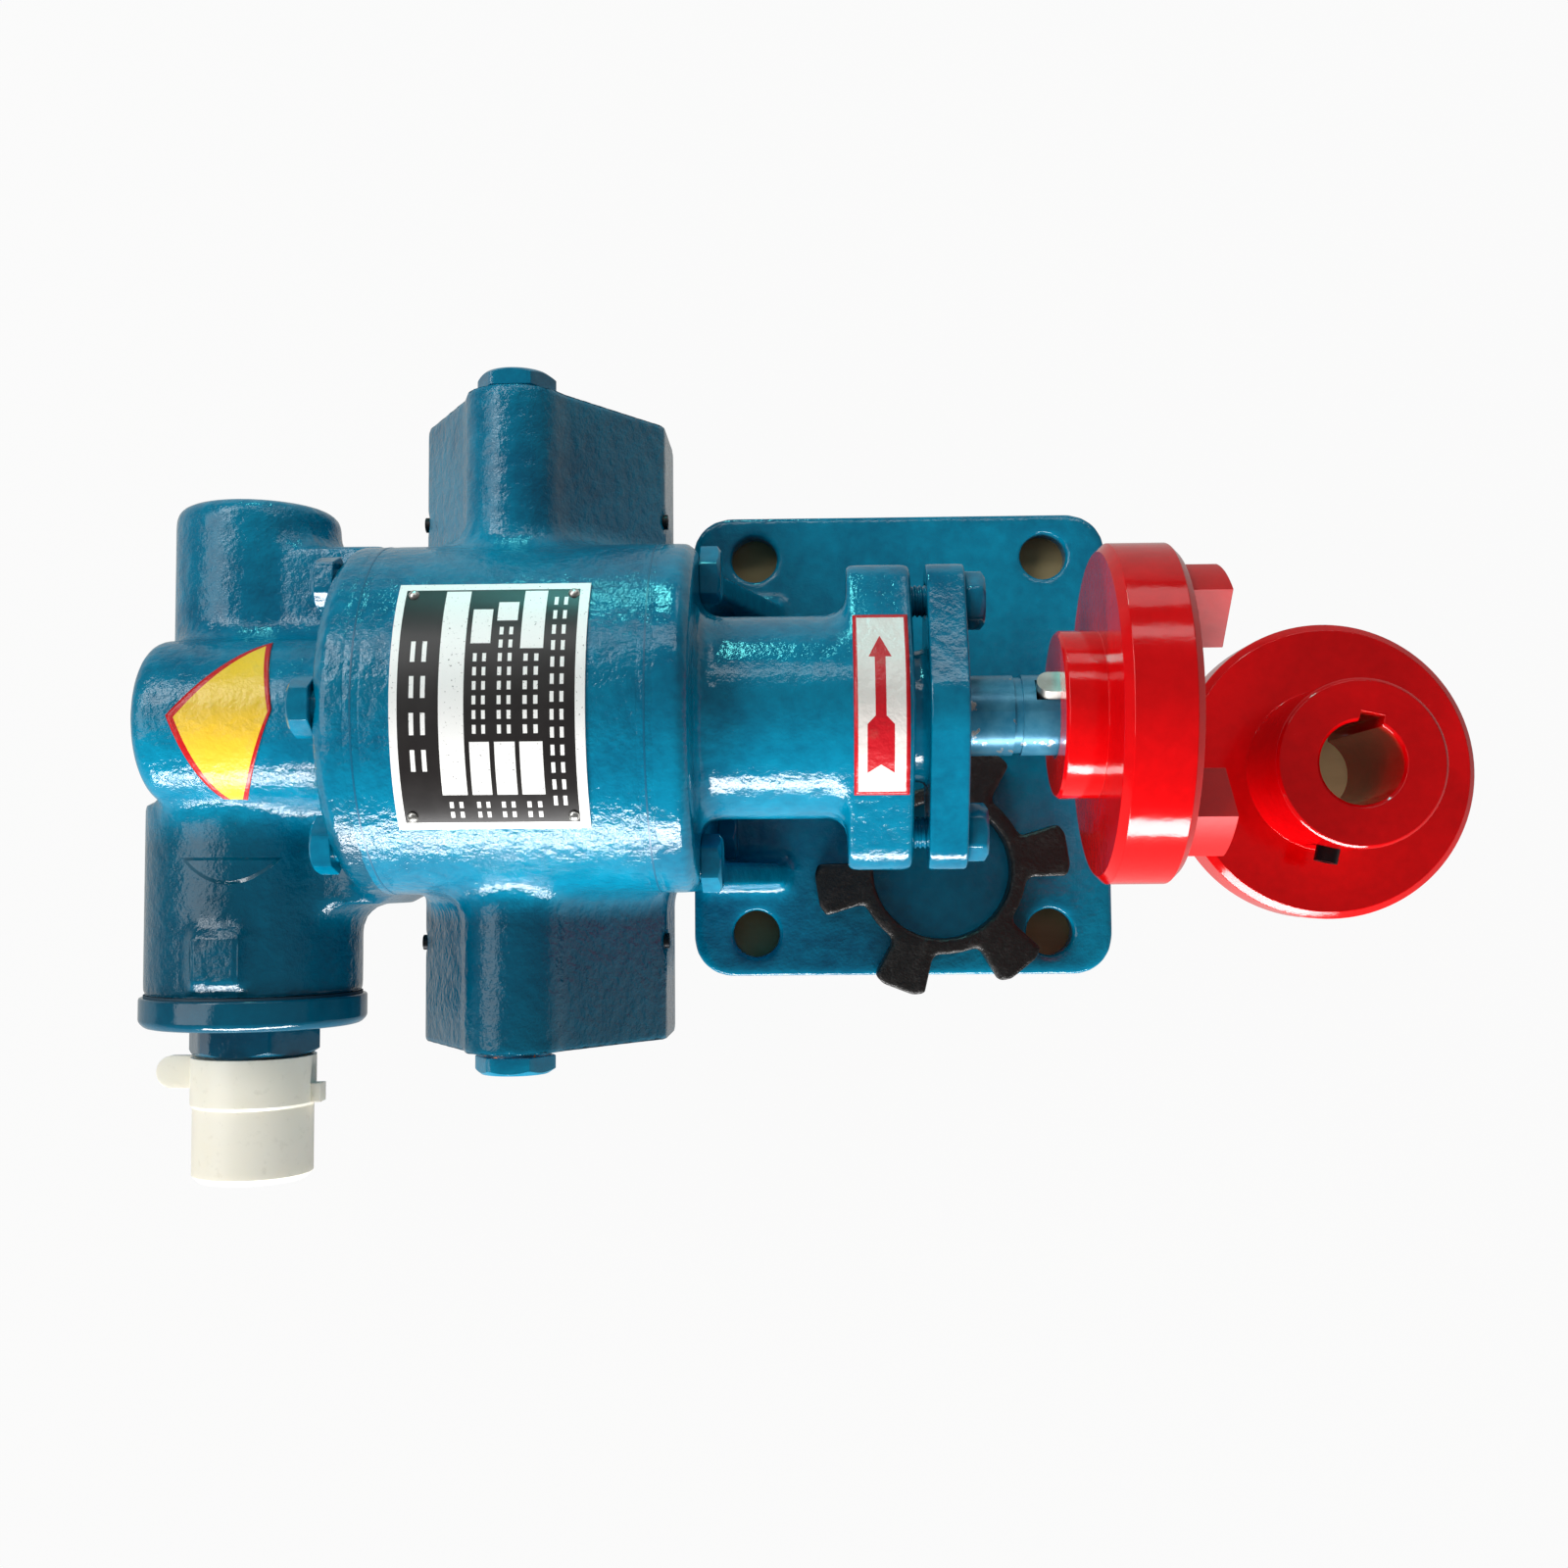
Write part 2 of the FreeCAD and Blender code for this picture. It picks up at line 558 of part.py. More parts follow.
def make_pump_body():
    """Cast body: a racetrack drum over the two gears with a port block on each side."""
    body = new_body("pump_body")
    drum = sketch_on(body, "YZ_Plane", BODY_REAR)
    racetrack(drum, S["body_radius"])
    pad(body, drum, S["body_length"])

    rest = sketch_on(body, "YZ_Plane", BODY_REAR + S["rest_pad_inset"])
    half = S["rest_pad_width"] / 2
    rectangle(rest, -half, half, 0, DRIVEN_HEIGHT - S["body_radius"] / 2)
    pad(body, rest, S["body_length"] - 2 * S["rest_pad_inset"])

    block = sketch_on(body, "XZ_Plane")
    half = S["body_length"] / 2 - S["port_back"]
    low = PORT_HEIGHT - S["port_block_below"]
    shoulder = PORT_HEIGHT + S["port_shoulder"]
    peak = S["shaft_height"] + S["shoulder_rise"]
    corner = S["port_corner"]
    left = PORT_MIDDLE - half
    right = PORT_MIDDLE + half
    tip = S["shoulder_top"] / 2
    arc_outline(block, [
        ((left + corner, low), (right - corner, low)),
        ((right - corner, low), (right, low + corner), (right - corner, low + corner)),
        ((right, low + corner), (right, shoulder)),
        ((right, shoulder), (GAUGE_MIDDLE + tip, peak)),
        ((GAUGE_MIDDLE + tip, peak), (GAUGE_MIDDLE - tip, peak)),
        ((GAUGE_MIDDLE - tip, peak), (left, shoulder)),
        ((left, shoulder), (left, low + corner)),
        ((left, low + corner), (left + corner, low), (left + corner, low + corner)),
    ])
    pad(body, block, 2 * S["port_face"], middle=True)
    gauge_boss = sketch_on(body, "XZ_Plane")
    circle(gauge_boss, GAUGE_MIDDLE, S["shaft_height"], S["gauge_boss_dia"] / 2)
    pad(body, gauge_boss, 2 * S["port_face"], middle=True)

    gear_bore = S["module"] * (S["teeth"] + 2) / 2 + S["tip_gap"]
    for height in (S["shaft_height"], DRIVEN_HEIGHT):
        bore = sketch_on(body, "YZ_Plane", BODY_REAR)
        circle(bore, 0, height, gear_bore)
        pocket(body, bore, S["body_length"], forward=True)

    port = sketch_on(body, "XZ_Plane")
    circle(port, PORT_MIDDLE, PORT_HEIGHT, S["port_bore_dia"] / 2)
    pocket(body, port, 0, through=True)
    for side in (1, -1):
        thread = sketch_on(body, "XZ_Plane", S["port_face"] * side)
        circle(thread, PORT_MIDDLE, PORT_HEIGHT, S["port_thread_dia"] / 2)
        pocket(body, thread, S["port_thread_depth"], forward=side < 0)
        gauge = sketch_on(body, "XZ_Plane", S["port_face"] * side)
        circle(gauge, GAUGE_MIDDLE, S["shaft_height"], S["gauge_thread_dia"] / 2)
        pocket(body, gauge, S["gauge_thread_depth"], forward=side < 0)
        duct = sketch_on(body, "XY_Plane", S["shaft_height"])
        circle(duct, GAUGE_MIDDLE, (S["port_face"] - S["gauge_thread_depth"] + S["gauge_duct_dia"]) * side,
               S["gauge_duct_dia"] / 2)
        pocket(body, duct, S["shaft_height"] - PORT_HEIGHT)

    relief = sketch_on(body, "YZ_Plane", BODY_REAR)
    for side in (1, -1):
        circle(relief, S["duct_reach"] * side, VALVE_HEIGHT, S["duct_dia"] / 2)
    pocket(body, relief, S["body_length"] / 2, forward=True)

    thread_deep = S["bolt_grip"] + S["thread_spare"]
    drill_group(body, BODY_REAR, rear_bolt_places(), S["bolt_dia"], thread_deep, True)
    drill_group(body, S["body_front"], front_bolt_places(), S["bolt_dia"], thread_deep, False)
    drill_group(body, BODY_REAR, dowel_places(), S["dowel_dia"], S["dowel_depth"], True)
    drill_group(body, S["body_front"], dowel_places(), S["dowel_dia"], S["dowel_depth"], False)

    for face, inward in ((left, True), (right, False)):
        screws = sketch_on(body, "YZ_Plane", face)
        for side in (1, -1):
            circle(screws, S["side_plug_reach"] * side, PORT_HEIGHT, S["side_plug_dia"] / 2)
        pocket(body, screws, S["side_plug_depth"], forward=inward)


def make_rear_cover():
    """Cast cover: plate, bearing bosses and the cross housing of the relief valve."""
    body = new_body("rear_cover")
    plate = sketch_on(body, "YZ_Plane", REAR_BACK)
    racetrack(plate, S["body_radius"])
    flat = pad(body, plate, S["rear_plate"])
    bevel_edges(body, flat, S["rear_edge"], lambda at: near(at.x, REAR_BACK))

    saddle = sketch_on(body, "XZ_Plane")
    rectangle(saddle, S["valve_x"], REAR_BACK + S["rear_plate"] / 2,
              VALVE_HEIGHT - S["saddle_high"] / 2, VALVE_HEIGHT + S["saddle_high"] / 2)
    pad(body, saddle, 2 * S["saddle_half"], middle=True)

    slim = sketch_on(body, "YZ_Plane", S["valve_x"], rise=VALVE_HEIGHT)
    round_ended_bar(slim, -S["valve_step"], S["valve_closed_end"], S["valve_slim_dia"] / 2, S["boss_round"])
    revolve(body, slim)
    wide = sketch_on(body, "XZ_Plane", S["valve_open_end"])
    circle(wide, S["valve_x"], VALVE_HEIGHT, S["valve_wide_dia"] / 2)
    pad(body, wide, S["valve_open_end"] - S["valve_step"], reverse=True)

    boss = sketch_on(body, "XZ_Plane", rise=S["shaft_height"])
    round_ended_bar(boss, REAR_BACK, S["rear_boss_end"], S["rear_boss_dia"] / 2, S["boss_round"])
    revolve(body, boss)
    driven = sketch_on(body, "YZ_Plane", REAR_BUSH_END - S["shaft_end_room"] - S["driven_boss_cover"])
    circle(driven, 0, DRIVEN_HEIGHT, S["driven_boss_dia"] / 2)
    pad(body, driven, REAR_BACK - REAR_BUSH_END + S["shaft_end_room"] + S["driven_boss_cover"])

    lug = sketch_on(body, "XY_Plane", VALVE_HEIGHT)
    lug_end = S["lug_inset"] - S["valve_open_end"]
    rectangle(lug, S["valve_x"] - S["lug_width"] / 2, S["valve_x"] + S["lug_width"] / 2,
              lug_end, lug_end + S["lug_width"])
    pad(body, lug, S["valve_wide_dia"] / 2 + S["lug_proud"])

    spring_bore = sketch_on(body, "XZ_Plane", S["valve_open_end"])
    circle(spring_bore, S["valve_x"], VALVE_HEIGHT, S["spring_bore_dia"] / 2)
    pocket(body, spring_bore, S["valve_open_end"] + S["seat_face"])
    seat_bore = sketch_on(body, "XZ_Plane", -S["seat_face"])
    circle(seat_bore, S["valve_x"], VALVE_HEIGHT, S["seat_dia"] / 2)
    pocket(body, seat_bore, S["seat_thick"])
    chamber = sketch_on(body, "XZ_Plane", -SEAT_BACK)
    circle(chamber, S["valve_x"], VALVE_HEIGHT, S["chamber_dia"] / 2)
    pocket(body, chamber, S["chamber_end"] - SEAT_BACK)

    ducts = sketch_on(body, "YZ_Plane", REAR_FACE)
    for side in (1, -1):
        circle(ducts, S["duct_reach"] * side, VALVE_HEIGHT, S["duct_dia"] / 2)
    pocket(body, ducts, REAR_FACE - S["valve_x"])

    for height in (S["shaft_height"], DRIVEN_HEIGHT):
        bush = sketch_on(body, "YZ_Plane", REAR_FACE)
        circle(bush, 0, height, S["bush_outer_dia"] / 2)
        pocket(body, bush, S["rear_bush_length"])
        relief = sketch_on(body, "YZ_Plane", REAR_BUSH_END)
        circle(relief, 0, height, SHAFT_R + S["loose_gap"])
        pocket(body, relief, S["shaft_end_room"])
    drill_group(body, REAR_FACE, rear_bolt_places(), S["bolt_dia"] + S["bolt_room"], S["rear_plate"], False)
    drill_group(body, REAR_FACE, dowel_places(), S["dowel_dia"], S["dowel_depth"], False)


def lozenge(body, plane_x, thick, middle_radius, end_radius, reach, height):
    """Two-bolt flange: a round middle drawn out to a rounded end at each bolt."""
    slope = (middle_radius - end_radius) / reach
    rise = root(1 - slope * slope)
    web = sketch_on(body, "YZ_Plane", plane_x)
    quarter = [(middle_radius * slope, middle_radius * rise),
               (reach + end_radius * slope, end_radius * rise)]
    corners = [(y, height + z) for y, z in quarter]
    corners += [(y, height - z) for y, z in reversed(quarter)]
    corners += [(-y, height - z) for y, z in quarter]
    corners += [(-y, height + z) for y, z in reversed(quarter)]
    polygon(web, corners)
    pad(body, web, thick)
    for y, radius in ((0, middle_radius), (reach, end_radius), (-reach, end_radius)):
        disc = sketch_on(body, "YZ_Plane", plane_x)
        circle(disc, y, height, radius)
        pad(body, disc, thick)


def make_front_bracket():
    """Cast bracket: front flange, packing housing, foot plate, web and gussets in one piece."""
    body = new_body("front_bracket")
    flange = sketch_on(body, "YZ_Plane", FRONT_FACE)
    racetrack(flange, S["body_radius"])
    disc = pad(body, flange, S["front_plate"])
    bevel_edges(body, disc, S["front_edge"], lambda at: near(at.x, FRONT_BACK))

    foot = sketch_on(body, "XY_Plane")
    half_x = S["foot_length"] / 2
    half_y = S["foot_width"] / 2
    corner = S["foot_corner"]
    arc_outline(foot, [
        ((-half_x + corner, -half_y), (half_x - corner, -half_y)),
        ((half_x - corner, -half_y), (half_x, -half_y + corner), (half_x - corner, -half_y + corner)),
        ((half_x, -half_y + corner), (half_x, half_y - corner)),
        ((half_x, half_y - corner), (half_x - corner, half_y), (half_x - corner, half_y - corner)),
        ((half_x - corner, half_y), (-half_x + corner, half_y)),
        ((-half_x + corner, half_y), (-half_x, half_y - corner), (-half_x + corner, half_y - corner)),
        ((-half_x, half_y - corner), (-half_x, -half_y + corner)),
        ((-half_x, -half_y + corner), (-half_x + corner, -half_y), (-half_x + corner, -half_y + corner)),
    ])
    sole = pad(body, foot, S["foot_thick"])

    housing = sketch_on(body, "YZ_Plane", FRONT_FACE)
    circle(housing, 0, S["shaft_height"], S["housing_dia"] / 2)
    pad(body, housing, S["ear_front"] - FRONT_FACE)
    lozenge(body, S["ear_front"] - S["ear_thick"], S["ear_thick"], S["housing_dia"] / 2,
            S["ear_end_dia"] / 2, S["ear_reach"], S["shaft_height"])
    driven = sketch_on(body, "YZ_Plane", FRONT_FACE)
    circle(driven, 0, DRIVEN_HEIGHT, S["driven_boss_dia"] / 2)
    pad(body, driven, S["driven_bush_length"] + S["shaft_end_room"] + S["driven_boss_cover"])

    web = sketch_on(body, "XZ_Plane")
    inside = S["foot_thick"] / 2
    rectangle(web, FRONT_BACK - inside, S["web_end"], inside, S["shaft_height"] - S["housing_dia"] / 4)
    pad(body, web, S["web_thick"], middle=True)
    gusset_reach = S["body_radius"] - S["gusset_inset"]
    gusset_top = S["shaft_height"] - S["gusset_below"]
    for side in (1, -1):
        gusset = sketch_on(body, "XZ_Plane", (gusset_reach * side) - S["gusset_thick"] / 2)
        polygon(gusset, [(FRONT_BACK - inside, inside), (FRONT_BACK + S["gusset_foot"], inside),
                         (FRONT_BACK + S["gusset_foot"], S["foot_thick"]),
                         (FRONT_BACK, gusset_top), (FRONT_BACK - inside, gusset_top)])
        pad(body, gusset, S["gusset_thick"])

    bore = sketch_on(body, "YZ_Plane", FRONT_FACE)
    circle(bore, 0, S["shaft_height"], S["bush_outer_dia"] / 2)
    pocket(body, bore, S["front_bush_length"], forward=True)
    neck = sketch_on(body, "YZ_Plane", DRIVE_BUSH_END)
    circle(neck, 0, S["shaft_height"], SHAFT_R + S["loose_gap"])
    pocket(body, neck, BOX_BOTTOM - DRIVE_BUSH_END, forward=True)
    box = sketch_on(body, "YZ_Plane", S["ear_front"])
    circle(box, 0, S["shaft_height"], S["box_dia"] / 2)
    pocket(body, box, S["box_depth"])
    low_bore = sketch_on(body, "YZ_Plane", FRONT_FACE)
    circle(low_bore, 0, DRIVEN_HEIGHT, S["bush_outer_dia"] / 2)
    pocket(body, low_bore, S["driven_bush_length"], forward=True)
    low_room = sketch_on(body, "YZ_Plane", DRIVEN_BUSH_END)
    circle(low_room, 0, DRIVEN_HEIGHT, SHAFT_R + S["loose_gap"])
    pocket(body, low_room, S["shaft_end_room"], forward=True)

    stud_holes = sketch_on(body, "YZ_Plane", S["ear_front"])
    for side in (1, -1):
        circle(stud_holes, S["ear_reach"] * side, S["shaft_height"],
               (S["bolt_dia"] + S["gland_bolt_room"]) / 2)
    pocket(body, stud_holes, S["ear_thick"])
    drill_group(body, FRONT_FACE, front_bolt_places(), S["bolt_dia"] + S["bolt_room"], S["front_plate"], True)
    drill_group(body, FRONT_FACE, dowel_places(), S["dowel_dia"], S["dowel_depth"], True)
    # Room for the bolt heads, wherever a lower shaft or a wider body brings foot or gussets near
    head_dia = S["bolt_flats"] / cosine(30) + 2 * S["head_room"]
    drill_group(body, FRONT_BACK, front_bolt_places(), head_dia, S["bolt_head"] + S["head_room"], True)

    holes = sketch_on(body, "XY_Plane", S["foot_thick"])
    for side_x in (1, -1):
        for side_y in (1, -1):
            circle(holes, S["foot_holes_along"] / 2 * side_x, S["foot_holes_across"] / 2 * side_y,
                   S["foot_hole_dia"] / 2)
    pocket(body, holes, S["foot_thick"])


def make_gasket(label, start, bolt_places, ducts=False):
    """Paper gasket: the body's outline with the gear, bolt, dowel and duct openings cut out."""
    body = new_body(label)
    outline = sketch_on(body, "YZ_Plane", start)
    racetrack(outline, S["body_radius"])
    pad(body, outline, S["gasket_thick"])
    opening = sketch_on(body, "YZ_Plane", start)
    racetrack(opening, S["module"] * (S["teeth"] + 2) / 2 + S["bolt_room"])
    pocket(body, opening, S["gasket_thick"], forward=True)
    drill_group(body, start, bolt_places, S["bolt_dia"] + S["bolt_room"], S["gasket_thick"], True)
    drill_group(body, start, dowel_places(), S["dowel_dia"] + S["bolt_room"], S["gasket_thick"], True)
    if ducts:
        places = [(S["duct_reach"] * side, VALVE_HEIGHT) for side in (1, -1)]
        drill_group(body, start, places, S["duct_dia"] + S["bolt_room"], S["gasket_thick"], True)


def make_bush(label, start, length, height):
    """Plain bronze bush with a turned lead at each end."""
    body = new_body(label)
    ring = sketch_on(body, "XZ_Plane")
    outer = S["bush_outer_dia"] / 2
    inner = SHAFT_R + S["running_gap"]
    lead = (outer - inner) / 4
    polygon(ring, [(0, inner), (length, inner), (length, outer - lead), (length - lead, outer),
                   (lead, outer), (0, outer - lead)])
    revolve(body, ring)
    place(body, start, 0, height)


def keyway(body, start, length, depth_from, turn=None):
    """Cut a key seat along the shaft, at an angle about the shaft's axis."""
    seat = sketch_on(body, "YZ_Plane", start, turn)
    half = S["key_width"] / 2
    rectangle(seat, -half, half, depth_from, SHAFT_R + S["key_high"])
    pocket(body, seat, length, forward=True)


def make_drive_shaft():
    """Drive shaft, turned from bar, with a groove beyond the gland and two key seats."""
    body = new_body("drive_shaft")
    profile = sketch_on(body, "XZ_Plane")
    groove = SHAFT_R - S["shaft_groove_deep"]
    first = REAR_BUSH_END
    chamfer = S["shaft_chamfer"]
    polygon(profile, [
        (first, 0), (COUPLING_END, 0), (COUPLING_END, SHAFT_R - chamfer),
        (COUPLING_END - chamfer, SHAFT_R),
        (S["shaft_groove"] + S["shaft_groove_width"], SHAFT_R),
        (S["shaft_groove"] + S["shaft_groove_width"], groove),
        (S["shaft_groove"], groove), (S["shaft_groove"], SHAFT_R),
        (first + chamfer, SHAFT_R), (first, SHAFT_R - chamfer),
    ])
    revolve(body, profile)
    key_floor = SHAFT_R - S["key_seat"]
    keyway(body, BODY_MIDDLE - S["gear_key_length"] / 2, S["gear_key_length"], key_floor)
    keyway(body, S["coupling_key_start"], S["coupling_key_length"], key_floor, -S["coupling_key_turn"])
    place(body, 0, 0, S["shaft_height"])


def make_driven_shaft():
    """Driven shaft, carried in a blind bush at each end."""
    body = new_body("driven_shaft")
    profile = sketch_on(body, "XZ_Plane")
    chamfer = S["shaft_chamfer"]
    polygon(profile, [
        (REAR_BUSH_END, 0), (DRIVEN_BUSH_END, 0), (DRIVEN_BUSH_END, SHAFT_R - chamfer),
        (DRIVEN_BUSH_END - chamfer, SHAFT_R), (REAR_BUSH_END + chamfer, SHAFT_R),
        (REAR_BUSH_END, SHAFT_R - chamfer),
    ])
    revolve(body, profile)
    keyway(body, BODY_MIDDLE - S["gear_key_length"] / 2, S["gear_key_length"], SHAFT_R - S["key_seat"])
    place(body, 0, 0, DRIVEN_HEIGHT)


def make_key(label, start, length, height, turn=None):
    """Parallel key with round ends, seated in the shaft and standing into the hub. A turn
    leans it away from the vertical, towards +Y."""
    body = new_body(label)
    outline = sketch_on(body, "XY_Plane", SHAFT_R - S["key_seat"])
    half = S["key_width"] / 2
    arc_outline(outline, [
        ((half, -half), (length - half, -half)),
        ((length - half, -half), (length - half, half), (length - half, 0)),
        ((length - half, half), (half, half)),
        ((half, half), (half, -half), (half, 0)),
    ])
    pad(body, outline, S["key_high"])
    place(body, start, 0, height)
    if turn is not None:
        about_shaft = Rotation(Vector(-1, 0, 0), turn.value)
        body.Placement = Placement(Vector(start.value, 0, height.value), about_shaft)
        bind(body, "Placement.Rotation.Angle", turn)


# Where on an involute, as a share of its roll, the arc that stands for it passes midway
FLANK_MIDDLE = 0.62


def involute_point(base_radius, roll):
    """Point of an involute of a base circle after it has unrolled through an angle."""
    x = base_radius * (math.cos(roll) + roll * math.sin(roll))
    y = base_radius * (math.sin(roll) - roll * math.cos(roll))
    return x, y


def turned_point(x, y, angle):
    c, s = math.cos(angle), math.sin(angle)
    return Vector(0, x * c - y * s, x * s + y * c)


def gear_shape(first_tooth):
    """Spur gear, its first tooth at an angle from the sideways axis. Each flank is the arc
    through three points of its involute, which stays within a few hundredths of it."""
    module = sheet.get("module")
    teeth = int(sheet.get("teeth"))
    pressure = math.radians(sheet.get("pressure_angle"))
    pitch_radius = module * teeth / 2
    tip_radius = pitch_radius + module
    root_radius = pitch_radius - sheet.get("root_depth") * module
    base_radius = pitch_radius * math.cos(pressure)
    pitch_roll = math.tan(pressure)
    tip_roll = math.sqrt((tip_radius / base_radius) ** 2 - 1)
    start_roll = 0.0
    if root_radius > base_radius:
        start_roll = math.sqrt((root_radius / base_radius) ** 2 - 1)
    pitch_x, pitch_y = involute_point(base_radius, pitch_roll)
    half_tooth = math.pi / (2 * teeth) - sheet.get("backlash") / 4 / pitch_radius
    flank_offset = half_tooth + math.atan2(pitch_y, pitch_x)
    rolls = (start_roll, start_roll + (tip_roll - start_roll) * FLANK_MIDDLE, tip_roll)
    edges = []
    for tooth in range(teeth):
        middle = first_tooth + 2 * math.pi * tooth / teeth
        rising = [turned_point(*involute_point(base_radius, r), middle - flank_offset) for r in rolls]
        falling = []
        for r in reversed(rolls):
            x, y = involute_point(base_radius, r)
            falling.append(turned_point(x, -y, middle + flank_offset))
        low_start = turned_point(root_radius, 0, middle - flank_offset)
        low_end = turned_point(root_radius, 0, middle + flank_offset)
        following = middle + 2 * math.pi / teeth
        next_low = turned_point(root_radius, 0, following - flank_offset)
        valley = turned_point(root_radius, 0, middle + math.pi / teeth)
        crest = turned_point(tip_radius, 0, middle)
        edges.append(Part.LineSegment(low_start, rising[0]).toShape())
        edges.append(Part.Arc(*rising).toShape())
        edges.append(Part.Arc(rising[-1], crest, falling[0]).toShape())
        edges.append(Part.Arc(*falling).toShape())
        edges.append(Part.LineSegment(falling[-1], low_end).toShape())
        edges.append(Part.Arc(low_end, valley, next_low).toShape())
    profile = Part.Face(Part.Wire(edges))
    width = sheet.get("body_length") - 2 * sheet.get("side_gap")
    blank = profile.extrude(Vector(width, 0, 0))
    shaft_radius = sheet.get("shaft_dia") / 2
    bore = Part.makeCylinder(shaft_radius, width, Vector(0, 0, 0), Vector(1, 0, 0))
    key_width = sheet.get("key_width")
    key_top = shaft_radius - sheet.get("key_seat") + sheet.get("key_high")
    slot = Part.makeBox(width, key_width, key_top, Vector(0, -key_width / 2, 0))
    return blank.cut(bore.fuse(slot))


def make_gear(label, first_tooth, height):
    gear = doc.addObject("Part::Feature", label)
    gear.Label = label
    gear.Shape = gear_shape(first_tooth)
    gear.Placement = Placement(Vector(0, 0, 0), Rotation())
    bind(gear, "Placement.Base.x", BODY_REAR + S["side_gap"])
    bind(gear, "Placement.Base.z", height)
    return gear


def make_packing():
    """Square braided packing, a stack of separate rings in the box."""
    count = int(S["packing_count"].value)
    length = S["packing_length"] / S["packing_count"]
    rings = []
    for number in range(count):
        body = new_body(f"packing_ring_{number + 1}")
        ring = sketch_on(body, "XZ_Plane")
        inner = SHAFT_R + S["running_gap"]
        outer = S["box_dia"] / 2
        rectangle(ring, 0, length, inner, outer)
        revolve(body, ring)
        place(body, BOX_BOTTOM + length * number, 0, S["shaft_height"])
        rings.append(body)
    return rings


def make_gland():
    """Packing gland: a two-bolt flange with a nose that presses the packing."""
    body = new_body("packing_gland")
    lozenge(body, S["gland_back"], S["gland_plate"], S["gland_mid_dia"] / 2,
            S["ear_end_dia"] / 2, S["ear_reach"], S["shaft_height"])
    nose = sketch_on(body, "YZ_Plane", S["gland_back"])
    circle(nose, 0, S["shaft_height"], S["box_dia"] / 2 - S["gland_gap"])
    pad(body, nose, S["gland_back"] - PACKING_END, reverse=True)
    bore = sketch_on(body, "YZ_Plane", PACKING_END)
    circle(bore, 0, S["shaft_height"], SHAFT_R + S["loose_gap"])
    pocket(body, bore, S["gland_back"] + S["gland_plate"] - PACKING_END, forward=True)
    holes = sketch_on(body, "YZ_Plane", S["gland_back"])
    for side in (1, -1):
        circle(holes, S["ear_reach"] * side, S["shaft_height"], (S["bolt_dia"] + S["bolt_room"]) / 2)
    pocket(body, holes, S["gland_plate"], forward=True)


def make_hex_bolt(label, seat, direction, grip, y, z):
    """Hexagon bolt along the shaft direction: its head seats at a face and its shank runs into it."""
    body = new_body(label)
    head = sketch_on(body, "YZ_Plane")
    hexagon(head, 0, 0, S["bolt_flats"])
    pad(body, head, S["bolt_head"], reverse=direction > 0)
    shank = sketch_on(body, "YZ_Plane")
    circle(shank, 0, 0, S["bolt_dia"] / 2)
    pad(body, shank, grip, reverse=direction < 0)
    place(body, seat, y, z)
    return body


def make_cover_bolts(name, seat, direction, plate, places):
    """Bolts of one cover: their heads on its outer face, their threads in the body."""
    grip = plate + S["gasket_thick"] + S["bolt_grip"]
    return [make_hex_bolt(f"{name}_{number}", seat, direction, grip, y, z)
            for number, (y, z) in enumerate(places, start=1)]


def make_gland_bolts():
    seat = S["gland_back"] + S["gland_plate"]
    grip = seat - S["ear_front"] + S["gland_bolt_grip"]
    return [make_hex_bolt(f"gland_bolt_{i + 1}", seat, -1, grip, S["ear_reach"] * side, S["shaft_height"])
            for i, side in enumerate((1, -1))]


def make_dowels():
    """Four dowel pins: two through each gasket."""
    pins = []
    for face, name in ((BODY_REAR, "rear"), (S["body_front"], "front")):
        for number, (y, z) in enumerate(dowel_places(), start=1):
            body = new_body(f"{name}_dowel_{number}")
            end = sketch_on(body, "YZ_Plane")
            circle(end, 0, 0, S["dowel_dia"] / 2)
            pad(body, end, 2 * S["dowel_depth"], reverse=True)
            place(body, face + S["dowel_depth"], y, z)
            pins.append(body)
    return pins


def make_gauge_plugs():
    """Hexagon screw plug and copper washer in each gauge boss."""
    plugs = []
    washers = []
    for side, name in ((1, "left"), (-1, "right")):
        washer = new_body(f"gauge_washer_{name}")
        ring = sketch_on(washer, "XZ_Plane", -S["port_face"] * side)
        circle(ring, GAUGE_MIDDLE, S["shaft_height"], S["plug_flats"] / 2)
        pad(washer, ring, S["plug_washer"], reverse=side > 0)
        hole = sketch_on(washer, "XZ_Plane", -S["port_face"] * side)
        circle(hole, GAUGE_MIDDLE, S["shaft_height"], S["gauge_thread_dia"] / 2)
        pocket(washer, hole, S["plug_washer"], forward=side < 0)
        washers.append(washer)
        plug = new_body(f"gauge_plug_{name}")
        seat = (S["port_face"] + S["plug_washer"]) * side
        head = sketch_on(plug, "XZ_Plane", -seat)
        hexagon(head, GAUGE_MIDDLE, S["shaft_height"], S["plug_flats"])
        pad(plug, head, S["plug_head"], reverse=side > 0)
        shank = sketch_on(plug, "XZ_Plane", -seat)
        circle(shank, GAUGE_MIDDLE, S["shaft_height"], S["gauge_thread_dia"] / 2)
        pad(plug, shank, S["plug_shank"] + S["plug_washer"], reverse=side < 0)
        plugs.append(plug)
    return plugs, washers


